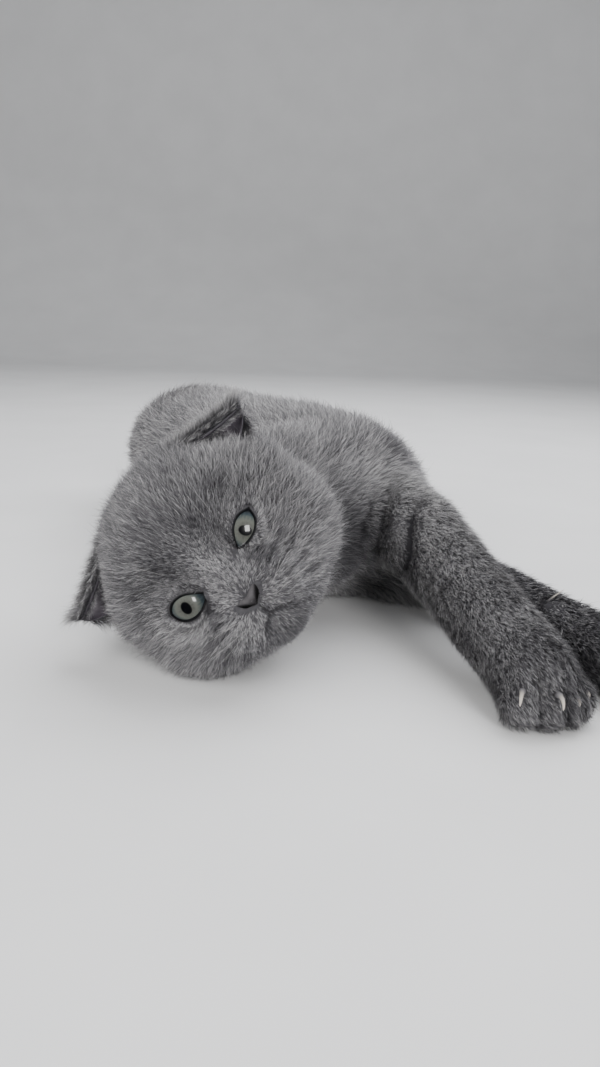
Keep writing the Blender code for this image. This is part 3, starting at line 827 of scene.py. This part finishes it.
def coat_piece(name, points, tone, pale, place, finish):
    """One coat piece. Each blade is a patch of its OFBake map at its root's place on the skin's unwrap."""
    count = len(points)
    low, high = place.min(axis=0), place.max(axis=0)
    place = 0.005 + 0.99 * (place - low) / (high - low)
    uv = np.clip(place[:, None, :] + PATCH, 0.001, 0.999)
    faces = (np.arange(count)[:, None, None] * 5 + BLADE_FACES).reshape(-1, 3)
    attributes = {
        # shade: 0 at the root to 1 at the tip, the coat's painted shade, darkest at the root.
        "shade": np.tile((0.0, 0.0, 0.5, 0.5, 1.0), count),
        "tone": np.repeat(tone, 5),
        "pale": np.repeat(pale, 5),
    }
    return make_piece(name, points.reshape(-1, 3), faces, finish, attributes, uv.reshape(-1, 2))


def line_unwrap(points, names):
    """Unwraps the skin round a chain of lines: the angle round the line, and the length along the chain."""
    best = np.full(len(points), np.inf)
    place = np.zeros((len(points), 2))
    travelled = 0.0
    for name in names:
        line = LINES[name]
        t, direction, distance = along_line(points, line)
        start, end = np.array(line[0], float) + HOME, np.array(line[1], float) + HOME
        size = np.linalg.norm(end - start)
        across = unit(np.cross(direction, (0.0, 0.0, 1.0)))
        above = np.cross(across, direction)
        offset = points - start
        angle = np.arctan2(offset @ across, offset @ above) / (2.0 * math.pi)
        here = np.stack((angle, (travelled + (offset @ direction)) / 100.0), axis=1)
        nearer = distance < best
        best = np.where(nearer, distance, best)
        place[nearer] = here[nearer]
        travelled += size
    return place


def head_unwrap(points):
    """Unwraps the head's skin round its middle: longitude from straight ahead, and latitude."""
    x, y, z = (to_head(points) - HEAD_BALL[0]).T
    return np.stack((np.arctan2(x, -y), np.arctan2(z, np.hypot(x, y))), axis=1)


CHAINS = {
    "fur_neck": ("neck",),
    "fur_chest": ("chest",),
    "fur_loin": ("loin",),
    "fur_left_foreleg": ("left_arm", "left_forearm"),
    "fur_left_forepaw": ("left_hand",),
    "fur_right_foreleg": ("right_arm", "right_forearm", "right_hand"),
    "fur_left_hind_leg": ("left_thigh", "left_shank", "left_foot"),
    "fur_right_hind_leg": ("right_thigh", "right_shank", "right_foot"),
    "fur_tail": ("tail_root", "tail_middle", "tail_tip"),
}


def bare(points):
    """True where no hair grows: between the lids, on the nose, in the mouth line, on the claws."""
    local = to_head(points)
    none = mouth_depth(local) > 0.62
    for side in (-1, 1):
        measure, radius, ball, flat = eye_measure(local, side)
        margin = 1.14 + 0.07 * ramp(np.abs(flat[:, 0]), 3.0, 5.5)
        none |= ((measure < margin) | (lid_crease(flat)[0] > 0.6)) & (radius < ball + 4.0)
    x, y, z = local.T
    none |= (np.hypot(x, z - NOSE_HEIGHT) < 0.76 * nose_reach(np.arctan2(z - NOSE_HEIGHT, x))) & (y < -24.0)
    none |= shoulder_folds(points) > 0.45
    return none | (claw_distance(points) < 0.9) | (toe_clefts(points) > 0.85)


def on_lids(points):
    """Roots beside an eye, lifted onto the lids."""
    local = to_head(points)
    for side in (-1, 1):
        measure, radius, ball, _ = eye_measure(local, side)
        centre = EYE_PLACE * (side, 1, 1)
        wanted = np.where(measure < 2.2, np.maximum(radius, ball + 0.35), radius)
        local = centre + (local - centre) * (wanted / radius)[:, None]
    return from_head(local)


def build_coat(surface, fields, flow, nearest, finish):
    """Sows tufts over the skin, evenly by density, and makes a piece for each part of the body."""
    faces = surface.faces
    areas = np.linalg.norm(surface.face_normals(), axis=1)
    normals = unit(surface.smooth(surface.normals(), 1))
    underside = (1.0 - ramp(surface.points[:, 2], 1.5, 5.0)) * ramp(-normals[:, 2], 0.5, 0.9)
    density = fields[:, 2] * (1.0 - 0.85 * underside)
    wanted = np.cumsum(areas * density[faces].mean(axis=1)) / TUFT
    total = int(wanted[-1])
    picks = np.searchsorted(wanted, np.arange(total) + rng.random(total))
    picks = np.minimum(picks, len(faces) - 1)
    s, t = rng.random((2, total))
    weights = np.stack(((1 - s) * (1 - t), s * (1 - t), s * t, (1 - s) * t), axis=1)[:, :, None]

    def at_roots(values):
        return (values[faces[picks]] * weights).sum(axis=1)

    roots = on_lids(at_roots(surface.points))
    lines = nearest[faces[picks, 0]]
    kept = ~bare(roots)
    local = to_head(roots)
    face = np.linalg.norm(local - MUZZLE, axis=1) < 31.0
    on_head = lines == 0
    masks = {
        "fur_face_upper": on_head & face & (local[:, 2] > -3.0),
        "fur_face_lower": on_head & face & (local[:, 2] <= -3.0),
        "fur_head_left": on_head & ~face & (local[:, 0] > 0.0),
        "fur_head_right": on_head & ~face & (local[:, 0] <= 0.0),
    }
    names = list(LINES)
    for piece, chain in CHAINS.items():
        masks[piece] = np.isin(lines, [names.index(name) + 1 for name in chain])
    root_normals, root_flow, root_fields = at_roots(normals), at_roots(flow), at_roots(fields)
    for piece, mask in masks.items():
        mask = mask & kept
        points, tone, tuft = tuft_blades(roots[mask], root_normals[mask], root_flow[mask], root_fields[mask])
        own = roots[mask]
        unwrap = line_unwrap(own, CHAINS[piece]) if piece in CHAINS else head_unwrap(own)
        pale = markings_and_painted_shading(own)
        place = unwrap[tuft] + 0.004 * rng.normal(size=(len(tuft), 2))
        coat_piece(piece, points, tone, pale[tuft], place, finish)


# Eyes


def eye_finish():
    """Iris by its distance from the pupil: grey-green with streaks, blue-grey rim, black pupil and edge."""
    paint = Paint("eye", roughness=0.3, Specular_IOR_Level=0.2, Coat_Weight=0.9, Coat_Roughness=0.02)
    away = paint.attribute("away")
    around = paint.attribute("around")
    streaks = paint.add(
        "ShaderNodeTexNoise", {"noise_dimensions": "2D"},
        {"Vector": paint.add("ShaderNodeCombineXYZ", {}, {0: around * 9.0, 1: away * 2.2}), "Scale": 2.5, "Detail": 4.0},
    )
    level = away + (streaks - 0.5) * 0.3
    iris = paint.colours(
        level,
        (0.00, (0.045, 0.045, 0.041)), (0.28, (0.064, 0.066, 0.059)), (0.43, (0.092, 0.096, 0.085)),
        (0.58, (0.060, 0.070, 0.066)), (0.70, (0.025, 0.035, 0.041)), (0.86, (0.006, 0.008, 0.010)),
    )
    pupil = paint.colours(paint.attribute("pupil"), (0.44, (0.0, 0.0, 0.0)), (0.5, (1.0, 1.0, 1.0)))
    mask = paint.add("ShaderNodeRGBToBW", {}, {0: pupil})
    return paint.base(paint.mixed(mask, (0.002, 0.002, 0.003), iris))


def build_eye(side, finish):
    """An eyeball: the eye's radius, cornea's bulge included, turned round the gaze."""
    rows, columns = 60, 72
    angle = np.linspace(0.0, math.pi, rows)[1:-1, None]
    turn = np.linspace(0.0, 2.0 * math.pi, columns, endpoint=False)[None, :]
    centre, gaze, long_axis, short_axis = eye_axes(side)
    across = np.cross(short_axis, gaze)
    radius = eye_radius(np.cos(angle))
    ring = np.sin(angle) * radius
    rings = (
        centre
        + (np.cos(angle) * radius + 0.0 * turn)[..., None] * gaze
        + (ring * np.cos(turn))[..., None] * across
        + (ring * np.sin(turn))[..., None] * short_axis
    )
    front, back = centre + eye_radius(1.0) * gaze, centre - eye_radius(-1.0) * gaze
    points = from_head(np.concatenate((front[None], rings.reshape(-1, 3), back[None])))
    away = np.where(angle > math.pi / 2, 1.0, np.minimum(np.sin(angle) / 0.83, 1.0)) + 0.0 * turn
    around = 0.0 * angle + np.abs(turn - math.pi) / math.pi
    pupil = 0.5 * np.hypot(ring * np.cos(turn) / 1.45, ring * np.sin(turn) / 1.95)
    pupil = np.where(angle > 1.0, 1.0, np.minimum(pupil, 1.0))
    attributes = {"away": away, "around": around, "pupil": pupil}
    attributes = {key: np.concatenate(([0.0], values.ravel(), [1.0])) for key, values in attributes.items()}
    name = "eyeball_left" if side > 0 else "eyeball_right"
    piece = make_piece(name, points, closed_faces(points, columns), finish, attributes)
    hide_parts("eye_left" if side > 0 else "eye_right")


def lid_finish():
    """Lid skin: near black and moist at the edge, grey further out."""
    paint = Paint("lid_skin", roughness=0.6, Specular_IOR_Level=0.25)
    out = paint.attribute("out")
    level = out + (paint.noise(0.7) - 0.5) * 0.2
    paint.bump(paint.noise(0.35), 0.08)
    return paint.base(paint.colours(level, 
        (0.0, (0.003, 0.003, 0.004)), (0.12, (0.005, 0.005, 0.006)), (0.25, (0.055, 0.053, 0.057)), (1.0, (0.09, 0.088, 0.092))))


def lid_edge(angle, side):
    """The opening's edge in the eye's own x and z: x by a cosine, and z by the opening's shape there."""
    outer, inner, upper, lower, shift_x, shift_z = OPENING[side]
    x = np.cos(angle) * np.where(np.cos(angle) > 0.0, outer, inner)
    height = np.where(np.sin(angle) > 0.0, upper, lower) * np.sign(np.sin(angle))
    return x + shift_x, height * np.maximum(1.0 - opening_shape(x, side), 0.0) + shift_z


def build_lids(side, finish):
    """Both lids as one ring round the opening, lying on the eyeball.

    Rows run outward from the inner edge: under the edge, over its rounded rim, then along the
    ball, sinking below the skin. Each row is the edge's outline scaled about its middle.
    """
    columns = 120
    turn = np.linspace(0.0, 2.0 * math.pi, columns, endpoint=False)
    x, z = lid_edge(turn, side)
    centre, gaze, long_axis, short_axis = eye_axes(side)
    profile = (
        (0.0, -0.4), (-0.06, 0.0), (0.02, 0.3), (0.2, 0.46), (0.5, 0.5), (0.9, 0.46), (1.4, 0.36), (2.0, 0.1), (2.8, -0.6),
    )
    rows = []
    outward = unit(np.stack((x - OPENING[side][4], (z - OPENING[side][5]) * 2.0), axis=1))
    for step, lift in profile:
        flat_x, flat_z = x + outward[:, 0] * step, z + outward[:, 1] * step
        ahead = np.sqrt(np.maximum(62.0 - flat_x ** 2 - flat_z ** 2, 4.0))
        spot = unit(ahead[:, None] * gaze + flat_x[:, None] * long_axis + flat_z[:, None] * short_axis)
        rows.append(centre + spot * (eye_radius(spot @ gaze) + lift)[:, None])
    local = np.array(rows)
    out = np.repeat(np.array([step for step, _ in profile])[:, None] / 2.6, columns, axis=1)
    name = "lids_left" if side > 0 else "lids_right"
    faces = grid_faces(len(profile), columns, True)
    points = from_head(local.reshape(-1, 3))
    outside = Surface(points, faces).face_normals().mean(axis=0) @ (HEAD_TURN @ gaze)
    return make_piece(name, points, faces if outside > 0 else faces[:, ::-1], finish, {"out": np.clip(out, 0, 1)})


# Nose


def nose_finish():
    """Nose leather: charcoal, finely pebbled, with painted shade in the nostrils and the groove, and darker towards the
    bottom.
    """
    paint = Paint("nose_leather", roughness=0.62, Specular_IOR_Level=0.2)
    pebbles = paint.add("ShaderNodeTexVoronoi", {}, {"Vector": paint.place(), "Scale": 1.0 / (0.45 * MM)}, "Distance")
    paint.bump(pebbles, 0.12)
    level = 0.95 - 1.3 * paint.attribute("hollow") + (paint.noise(1.2) - 0.5) * 0.25
    return paint.base(paint.colours(level, (0.0, (0.002, 0.002, 0.002)), (0.35, (0.012, 0.011, 0.012)), (0.6, (0.032, 0.030, 0.032)), (1.0, (0.080, 0.076, 0.080))))


def build_nose(finish):
    """Nose leather as a dome over a rounded triangle, its nostrils sunk beside the middle.

    At a share r of the triangle's reach, the dome bulges ahead as (1 - r^2)^0.35 and slopes back
    to its sides and top. Each nostril is a row of bells that rises outward.
    """
    rows, columns = 40, 80
    share = np.linspace(0.0, 1.0, rows)[1:, None] ** 0.8
    turn = np.linspace(0.0, 2.0 * math.pi, columns, endpoint=False)[None, :]
    reach = share * nose_reach(turn)
    x = reach * np.cos(turn)
    z = NOSE_HEIGHT + reach * np.sin(turn)
    y = -30.7 - 3.1 * np.maximum(1.0 - share ** 2, 0.0) ** 0.35 + 0.06 * x ** 2 + 0.25 * np.maximum(z + 13.0, 0.0)
    hollow = np.zeros_like(x)
    for side in (-1, 1):
        for t in np.linspace(0.0, 1.0, 13):
            spot_x, spot_z = side * (0.3 + 5.5 * t), -15.2 + 4.6 * t ** 0.9
            hollow = np.maximum(hollow, bell(np.hypot(x - spot_x, z - spot_z), 0.66 + 1.4 * t * (1.0 - t)))
    groove = bell(x, 0.3) * ramp(-z, 13.0, 15.0)
    y = y + 1.6 * hollow + 0.5 * groove
    front, back = (0.0, -33.8, NOSE_HEIGHT), (0.0, -29.0, NOSE_HEIGHT)
    points = from_head(np.concatenate(([front], np.stack((x, y, z), axis=-1).reshape(-1, 3), [back])))
    # Painted shade in the nostrils and the groove below the nose, and the leather darker towards the bottom.
    shaded = np.maximum(np.maximum(hollow, 0.5 * groove), 0.35 * ramp(-z, 11.0, 14.0))
    dark = np.concatenate(([0.0], shaded.ravel(), [1.0]))
    piece = make_piece("nose_pad", points, closed_faces(points, columns), finish, {"hollow": dark})
    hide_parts("nose")


# Ears

CREASE_START = np.array((17.0, -2.0, 29.0))
CREASE_END = np.array((38.5, -5.0, 21.5))


def ear_flap(side, along, around, size_offset=0.0):
    """Points of the folded flap: an ellipse arc about the crease, 205 to -50 degrees, shrinking to the tip.

    At along a the section's size is 0.14 + 0.86 (1 - a^2.4)^0.75, its height 7 mm and depth 5.2 mm.
    """
    crease = CREASE_START + along[..., None] * (CREASE_END - CREASE_START)
    run = unit(CREASE_END - CREASE_START)
    ahead = np.array((0.25, -1.0, 0.0))
    ahead = unit(ahead - run * (run @ ahead))
    upward = np.cross(ahead, run)
    upward = upward * np.sign(upward[2])
    size = np.maximum(1.0 - np.maximum(along, 0.0) ** 2.4, 0.0) ** 0.75 * 0.86 + 0.14
    angle = np.radians(205.0 - 255.0 * around)
    height = 7.0 * size * (np.cos(angle) - 1.0) + size_offset * np.cos(angle)
    depth = -(5.2 * size + size_offset) * np.sin(angle)
    return (crease + height[..., None] * upward + depth[..., None] * ahead) * (side, 1, 1)


def ear_finish():
    """Ear: dark short-haired skin outside, purple-grey and finely veined inside."""
    paint = Paint("ear_skin", roughness=0.6)
    inside = paint.attribute("inside")
    outer = paint.colours(paint.noise(2.0), (0.3, (0.022, 0.021, 0.025)), (0.7, (0.05, 0.048, 0.056)))
    inner = paint.colours(paint.noise(3.0), (0.3, (0.045, 0.039, 0.050)), (0.7, (0.115, 0.100, 0.120)))
    paint.bump(paint.noise(0.6), 0.12)
    return paint.base(paint.mixed(inside, outer, inner))


def build_ear(side, skin, hair):
    """The ear flap as a thin shell, with short hair outside and long pale hair along its rim and crease."""
    rows, columns = 36, 64
    along, around = np.meshgrid(np.linspace(-0.15, 1.0, rows), np.linspace(0.0, 1.0, columns), indexing="ij")
    local_out = ear_flap(side, along, around, 0.35)
    local_in = ear_flap(side, along, around, -0.45)
    ring = np.concatenate((local_out, local_in[:, ::-1]), axis=1)
    inside = np.concatenate((np.zeros_like(along), np.ones_like(along)), axis=1)
    faces = grid_faces(rows, 2 * columns, True)
    points = from_head(ring.reshape(-1, 3))
    caps = []
    for row in (0, rows - 1):
        left = row * 2 * columns + np.arange(columns - 1)
        right = row * 2 * columns + 2 * columns - 1 - np.arange(columns - 1)
        cap = np.stack((left, right, right - 1, left + 1), axis=1)
        caps.append(cap if row == 0 else cap[:, ::-1])
    faces = np.concatenate((faces, *caps))
    sample = Surface(points, faces)
    out_way = from_head(local_out.reshape(-1, 3)) - from_head(local_in.reshape(-1, 3))
    if (sample.normals()[: columns] * out_way[: columns]).sum() < 0:
        faces = faces[:, ::-1]
    name = "ear_flap_left" if side > 0 else "ear_flap_right"
    piece = make_piece(name, points, faces, skin, {"inside": inside})
    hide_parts("ear_left" if side > 0 else "ear_right")

    def sow(count, along_range, around_range, fields, lean, side_out=1.0):
        """Tufts at random places of one side of the flap, lying along the flap to its tip and edge."""
        a = rng.uniform(*along_range, count)
        b = rng.uniform(*around_range, count)
        here = ear_flap(side, a, b, 0.4 * side_out)
        step = 1e-3
        run = ear_flap(side, a + step, b, 0.4 * side_out) - here
        turn = ear_flap(side, a, b + step, 0.4 * side_out) - here
        normal = ear_flap(side, a, b, 1.4 * side_out) - here
        flow = unit(run) * lean[0] + unit(turn) * lean[1]
        blades = tuft_blades(
            from_head(here), unit(normal) @ HEAD_TURN.T, unit(flow) @ HEAD_TURN.T, np.tile(fields, (count, 1))
        )
        return (*blades, np.stack((b, a), axis=1))

    parts = (
        (sow(800, (-0.12, 0.99), (0.02, 0.72), (4.6, 0.70, 6.0, 0.16), (0.5, 0.2)), -0.2),
        (sow(720, (-0.12, 0.97), (0.79, 0.985), (2.2, 0.12, 12.0, 0.13), (0.9, 0.25)), -2.2),
        (sow(520, (-0.12, 0.99), (0.67, 0.79), (5.0, 1.1, 6.0, 0.145), (0.5, 0.1)), 1.4),
        (sow(80, (0.86, 0.99), (0.60, 0.95), (6.5, 0.7, 6.0, 0.13), (1.0, -0.2)), 1.4),
        (sow(60, (0.0, 0.95), (0.90, 0.97), (3.2, 0.30, 6.0, 0.12), (0.9, 0.3)), 0.9),
        (sow(150, (0.45, 0.97), (0.70, 0.97), (2.8, 0.22, 6.0, 0.13), (0.6, 0.6), -1.0), -0.8),
        (sow(70, (0.0, 0.9), (0.80, 0.97), (3.4, 0.30, 6.0, 0.12), (0.8, 0.3), -1.0), 0.7),
    )
    points = np.concatenate([part[0] for part, _ in parts])
    pale = np.concatenate([np.full(len(part[1]), value) for part, value in parts])
    tone = np.concatenate([part[1] for part, _ in parts])
    place = np.concatenate([part[3][part[2]] for part, _ in parts])
    coat_piece("fur_ear_left" if side > 0 else "fur_ear_right", points, tone, pale, place, hair)


# Claws and whiskers


def swept(path, radii, sides):
    """A closed round tube through a path's points: at each, a ring of a radius across the path's direction."""
    ahead = unit(np.gradient(path, axis=0))
    across = unit(np.cross(ahead, (0.31, 0.17, 0.93)))
    above = np.cross(across, ahead)
    turn = np.linspace(0.0, 2.0 * math.pi, sides, endpoint=False)
    ring = np.cos(turn)[None, :, None] * across[:, None] + np.sin(turn)[None, :, None] * above[:, None]
    rings = path[:, None] + ring * np.asarray(radii)[:, None, None]
    points = np.concatenate((path[:1], rings.reshape(-1, 3), path[-1:]))
    return points, closed_faces(points, sides)


def whisker_finish():
    paint = Paint("whisker", roughness=0.35)
    level = paint.attribute("shade")
    return paint.base(paint.colours(level, (0.0, (0.20, 0.195, 0.195)), (1.0, (0.55, 0.54, 0.53))))


def build_whiskers(finish):
    """Whiskers: tapered tubes that leave each pad outwards and bend back under their weight as t^2."""
    points, faces, shade = [], [], []
    start_index = 0
    steps = np.linspace(0.0, 1.0, 14)
    draw = np.random.default_rng(21)
    for side in (-1, 1):
        rows = [(5.0 + 2.4 * c, -14.6 - 2.3 * r) for r in range(2) for c in range(2)]
        rows += [(9.5, 9.5), (11.5, 8.6)]
        for x, z in rows:
            brow = z > 0.0
            root = np.array((side * x, -27.0 if brow else -32.6 + 0.10 * (x - 4.0) ** 2, z))
            size = draw.uniform(8.0, 11.0) if brow else draw.uniform(10.0, 17.0)
            out = np.array((side * 0.9, -0.45, 0.05 + 0.09 * (z + 17.0))) if not brow else np.array((side * 0.35, -0.35, 1.0))
            out = unit(out + 0.12 * draw.normal(size=3))
            back = np.array((0.0, 0.55, -0.12)) + 0.1 * draw.normal(size=3)
            path = root + size * (steps[:, None] * out + steps[:, None] ** 2 * back * 0.6)
            path = from_head(path)
            path[:, 2] = np.maximum(path[:, 2], 0.3)
            ring, quads = swept(path, 0.036 * (1.0 - steps) ** 0.8 + 0.006, 5)
            points.append(ring)
            faces.append(quads + start_index)
            shade.append(np.concatenate(([0.0], np.repeat(steps, 5), [1.0])))
            start_index += len(ring)
    make_piece("whiskers", np.concatenate(points), np.concatenate(faces), finish, {"shade": np.concatenate(shade)})


def claw_finish():
    """Claw: a grey cuff of skin, then ivory horn that grows clearer and warmer to its tip."""
    paint = Paint("claw_horn", roughness=0.32)
    level = paint.attribute("along") + (paint.noise(0.8) - 0.5) * 0.1
    return paint.base(paint.colours(
        level, (0.0, (0.03, 0.028, 0.032)), (0.28, (0.13, 0.125, 0.13)), (0.38, (0.27, 0.25, 0.23)), (0.65, (0.46, 0.42, 0.37)),
        (1.0, (0.55, 0.50, 0.45)),
    ))


def build_claw(name, finish):
    """A claw: a tube along its path, a rounded cuff at the root, then horn tapering to a point."""
    path = CLAWS[name]
    t = np.linspace(0.0, 1.0, 22)
    spots = np.stack([np.interp(t, np.linspace(0.0, 1.0, len(path)), path[:, i]) for i in range(3)], axis=1)
    radii = np.where(t < 0.36, 0.85 * np.sqrt(np.clip(1.0 - ((t - 0.18) / 0.19) ** 2, 0.0, 1.0)), 0.0)
    radii = np.maximum(radii, 0.55 * (1.0 - t ** 2) ** 0.8 + 0.06) * (0.4 if name == "claw_right_dew" else 1.0)
    points, faces = swept(spots, radii, 12)
    along = np.concatenate(([0.0], np.repeat(t, 12), [1.0]))
    piece = make_piece(name.replace("claw", "horn"), points, faces, finish, {"along": along})
    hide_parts(name)


# Stage


def build_stage():
    """A pale floor that curves up into a wall."""
    size, bend, wall = 1600.0, 500.0, 1500.0
    turn = np.linspace(0.0, math.pi / 2.0, 16)
    profile_y = np.concatenate(([-900.0], 900.0 + bend * np.sin(turn), [900.0 + bend]))
    profile_z = np.concatenate(([0.0], bend * (1.0 - np.cos(turn)), [wall]))
    across = np.linspace(-size, size, 5)
    points = np.stack(np.broadcast_arrays(across[None, :], profile_y[:, None], profile_z[:, None]), axis=-1)
    paint = Paint("studio_floor", roughness=0.8)
    finish = paint.base(paint.colours(paint.noise(60.0), (0.3, (0.70, 0.70, 0.705)), (0.7, (0.74, 0.74, 0.745))))
    mesh = bpy.data.meshes.new("studio_floor")
    mesh.from_pydata([tuple(p) for p in points.reshape(-1, 3) * MM], [], grid_faces(len(profile_y), 5).tolist())
    mesh.shade_smooth()
    mesh.materials.append(finish)
    floor = bpy.data.objects.new("studio_floor", mesh)
    floor.visible_glossy = False
    bpy.context.scene.collection.objects.link(floor)


def build_light(name, place, target, size, power, colour):
    data = bpy.data.lights.new(name, "AREA")
    data.shape = "RECTANGLE"
    data.size, data.size_y = size
    data.energy = power
    data.color = colour
    light = bpy.data.objects.new(name, data)
    light.visible_glossy = name == "window_front"
    light.location = Vector(place)
    light.rotation_euler = (Vector(target) - Vector(place)).to_track_quat("-Z", "Y").to_euler()
    bpy.context.scene.collection.objects.link(light)


def build_lights():
    def at(x, y, z):
        return tuple((HEAD_CENTRE + np.array((x, y, z), float)) * MM)

    target = at(0, 0, 0)
    build_light("window_front", at(330, -760, 330), target, (0.28, 0.36), 6.2, (1.0, 0.99, 0.98))
    build_light("window_left", at(-560, -520, 430), target, (1.1, 1.0), 10.0, (1.0, 0.99, 0.97))
    build_light("window_above", at(240, 280, 600), target, (0.9, 0.7), 9.0, (0.97, 0.98, 1.0))
    world = bpy.data.worlds.new("studio")
    world.use_nodes = True
    world.node_tree.nodes["Background"].inputs["Color"].default_value = (0.82, 0.84, 0.87, 1.0)
    world.node_tree.nodes["Background"].inputs["Strength"].default_value = 0.36
    bpy.context.scene.world = world
    world.cycles_visibility.glossy = False


CAMERA_PITCH = math.radians(16.1)
CAMERA_ROLL = math.radians(2.0)


def build_camera():
    """A camera 105 mm above the floor before the face, looking a little down, rolled a little."""
    data = bpy.data.cameras.new("camera")
    data.lens = 36.0 * 800.0 / 1067.0
    data.sensor_width = 36.0
    data.sensor_fit = "AUTO"
    data.clip_start = 0.01
    data.dof.use_dof = False
    camera = bpy.data.objects.new("camera", data)
    bpy.context.scene.collection.objects.link(camera)
    place = Vector((HOME[0] * MM, HOME[1] * MM, 0.105))
    aim = Matrix.Rotation(math.pi / 2.0 - CAMERA_PITCH, 4, "X") @ Matrix.Rotation(CAMERA_ROLL, 4, "Z")
    camera.matrix_world = Matrix.Translation(place) @ aim
    bpy.context.scene.camera = camera


def main():
    surface, fields, flow, nearest = build_skin()
    skin = make_piece("skin", surface.points, surface.faces, skin_finish(), {"pale": markings_and_painted_shading(surface.points)})
    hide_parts(*FLESH)
    hair = coat_finish()
    build_coat(surface, fields, flow, nearest, hair)
    eye, lid, ear = eye_finish(), lid_finish(), ear_finish()
    for side in (-1, 1):
        build_eye(side, eye)
        build_lids(side, lid)
        build_ear(side, ear, hair)
    build_nose(nose_finish())
    build_whiskers(whisker_finish())
    claw = claw_finish()
    for name in CLAWS:
        build_claw(name, claw)
    build_stage()
    build_lights()
    build_camera()


main()
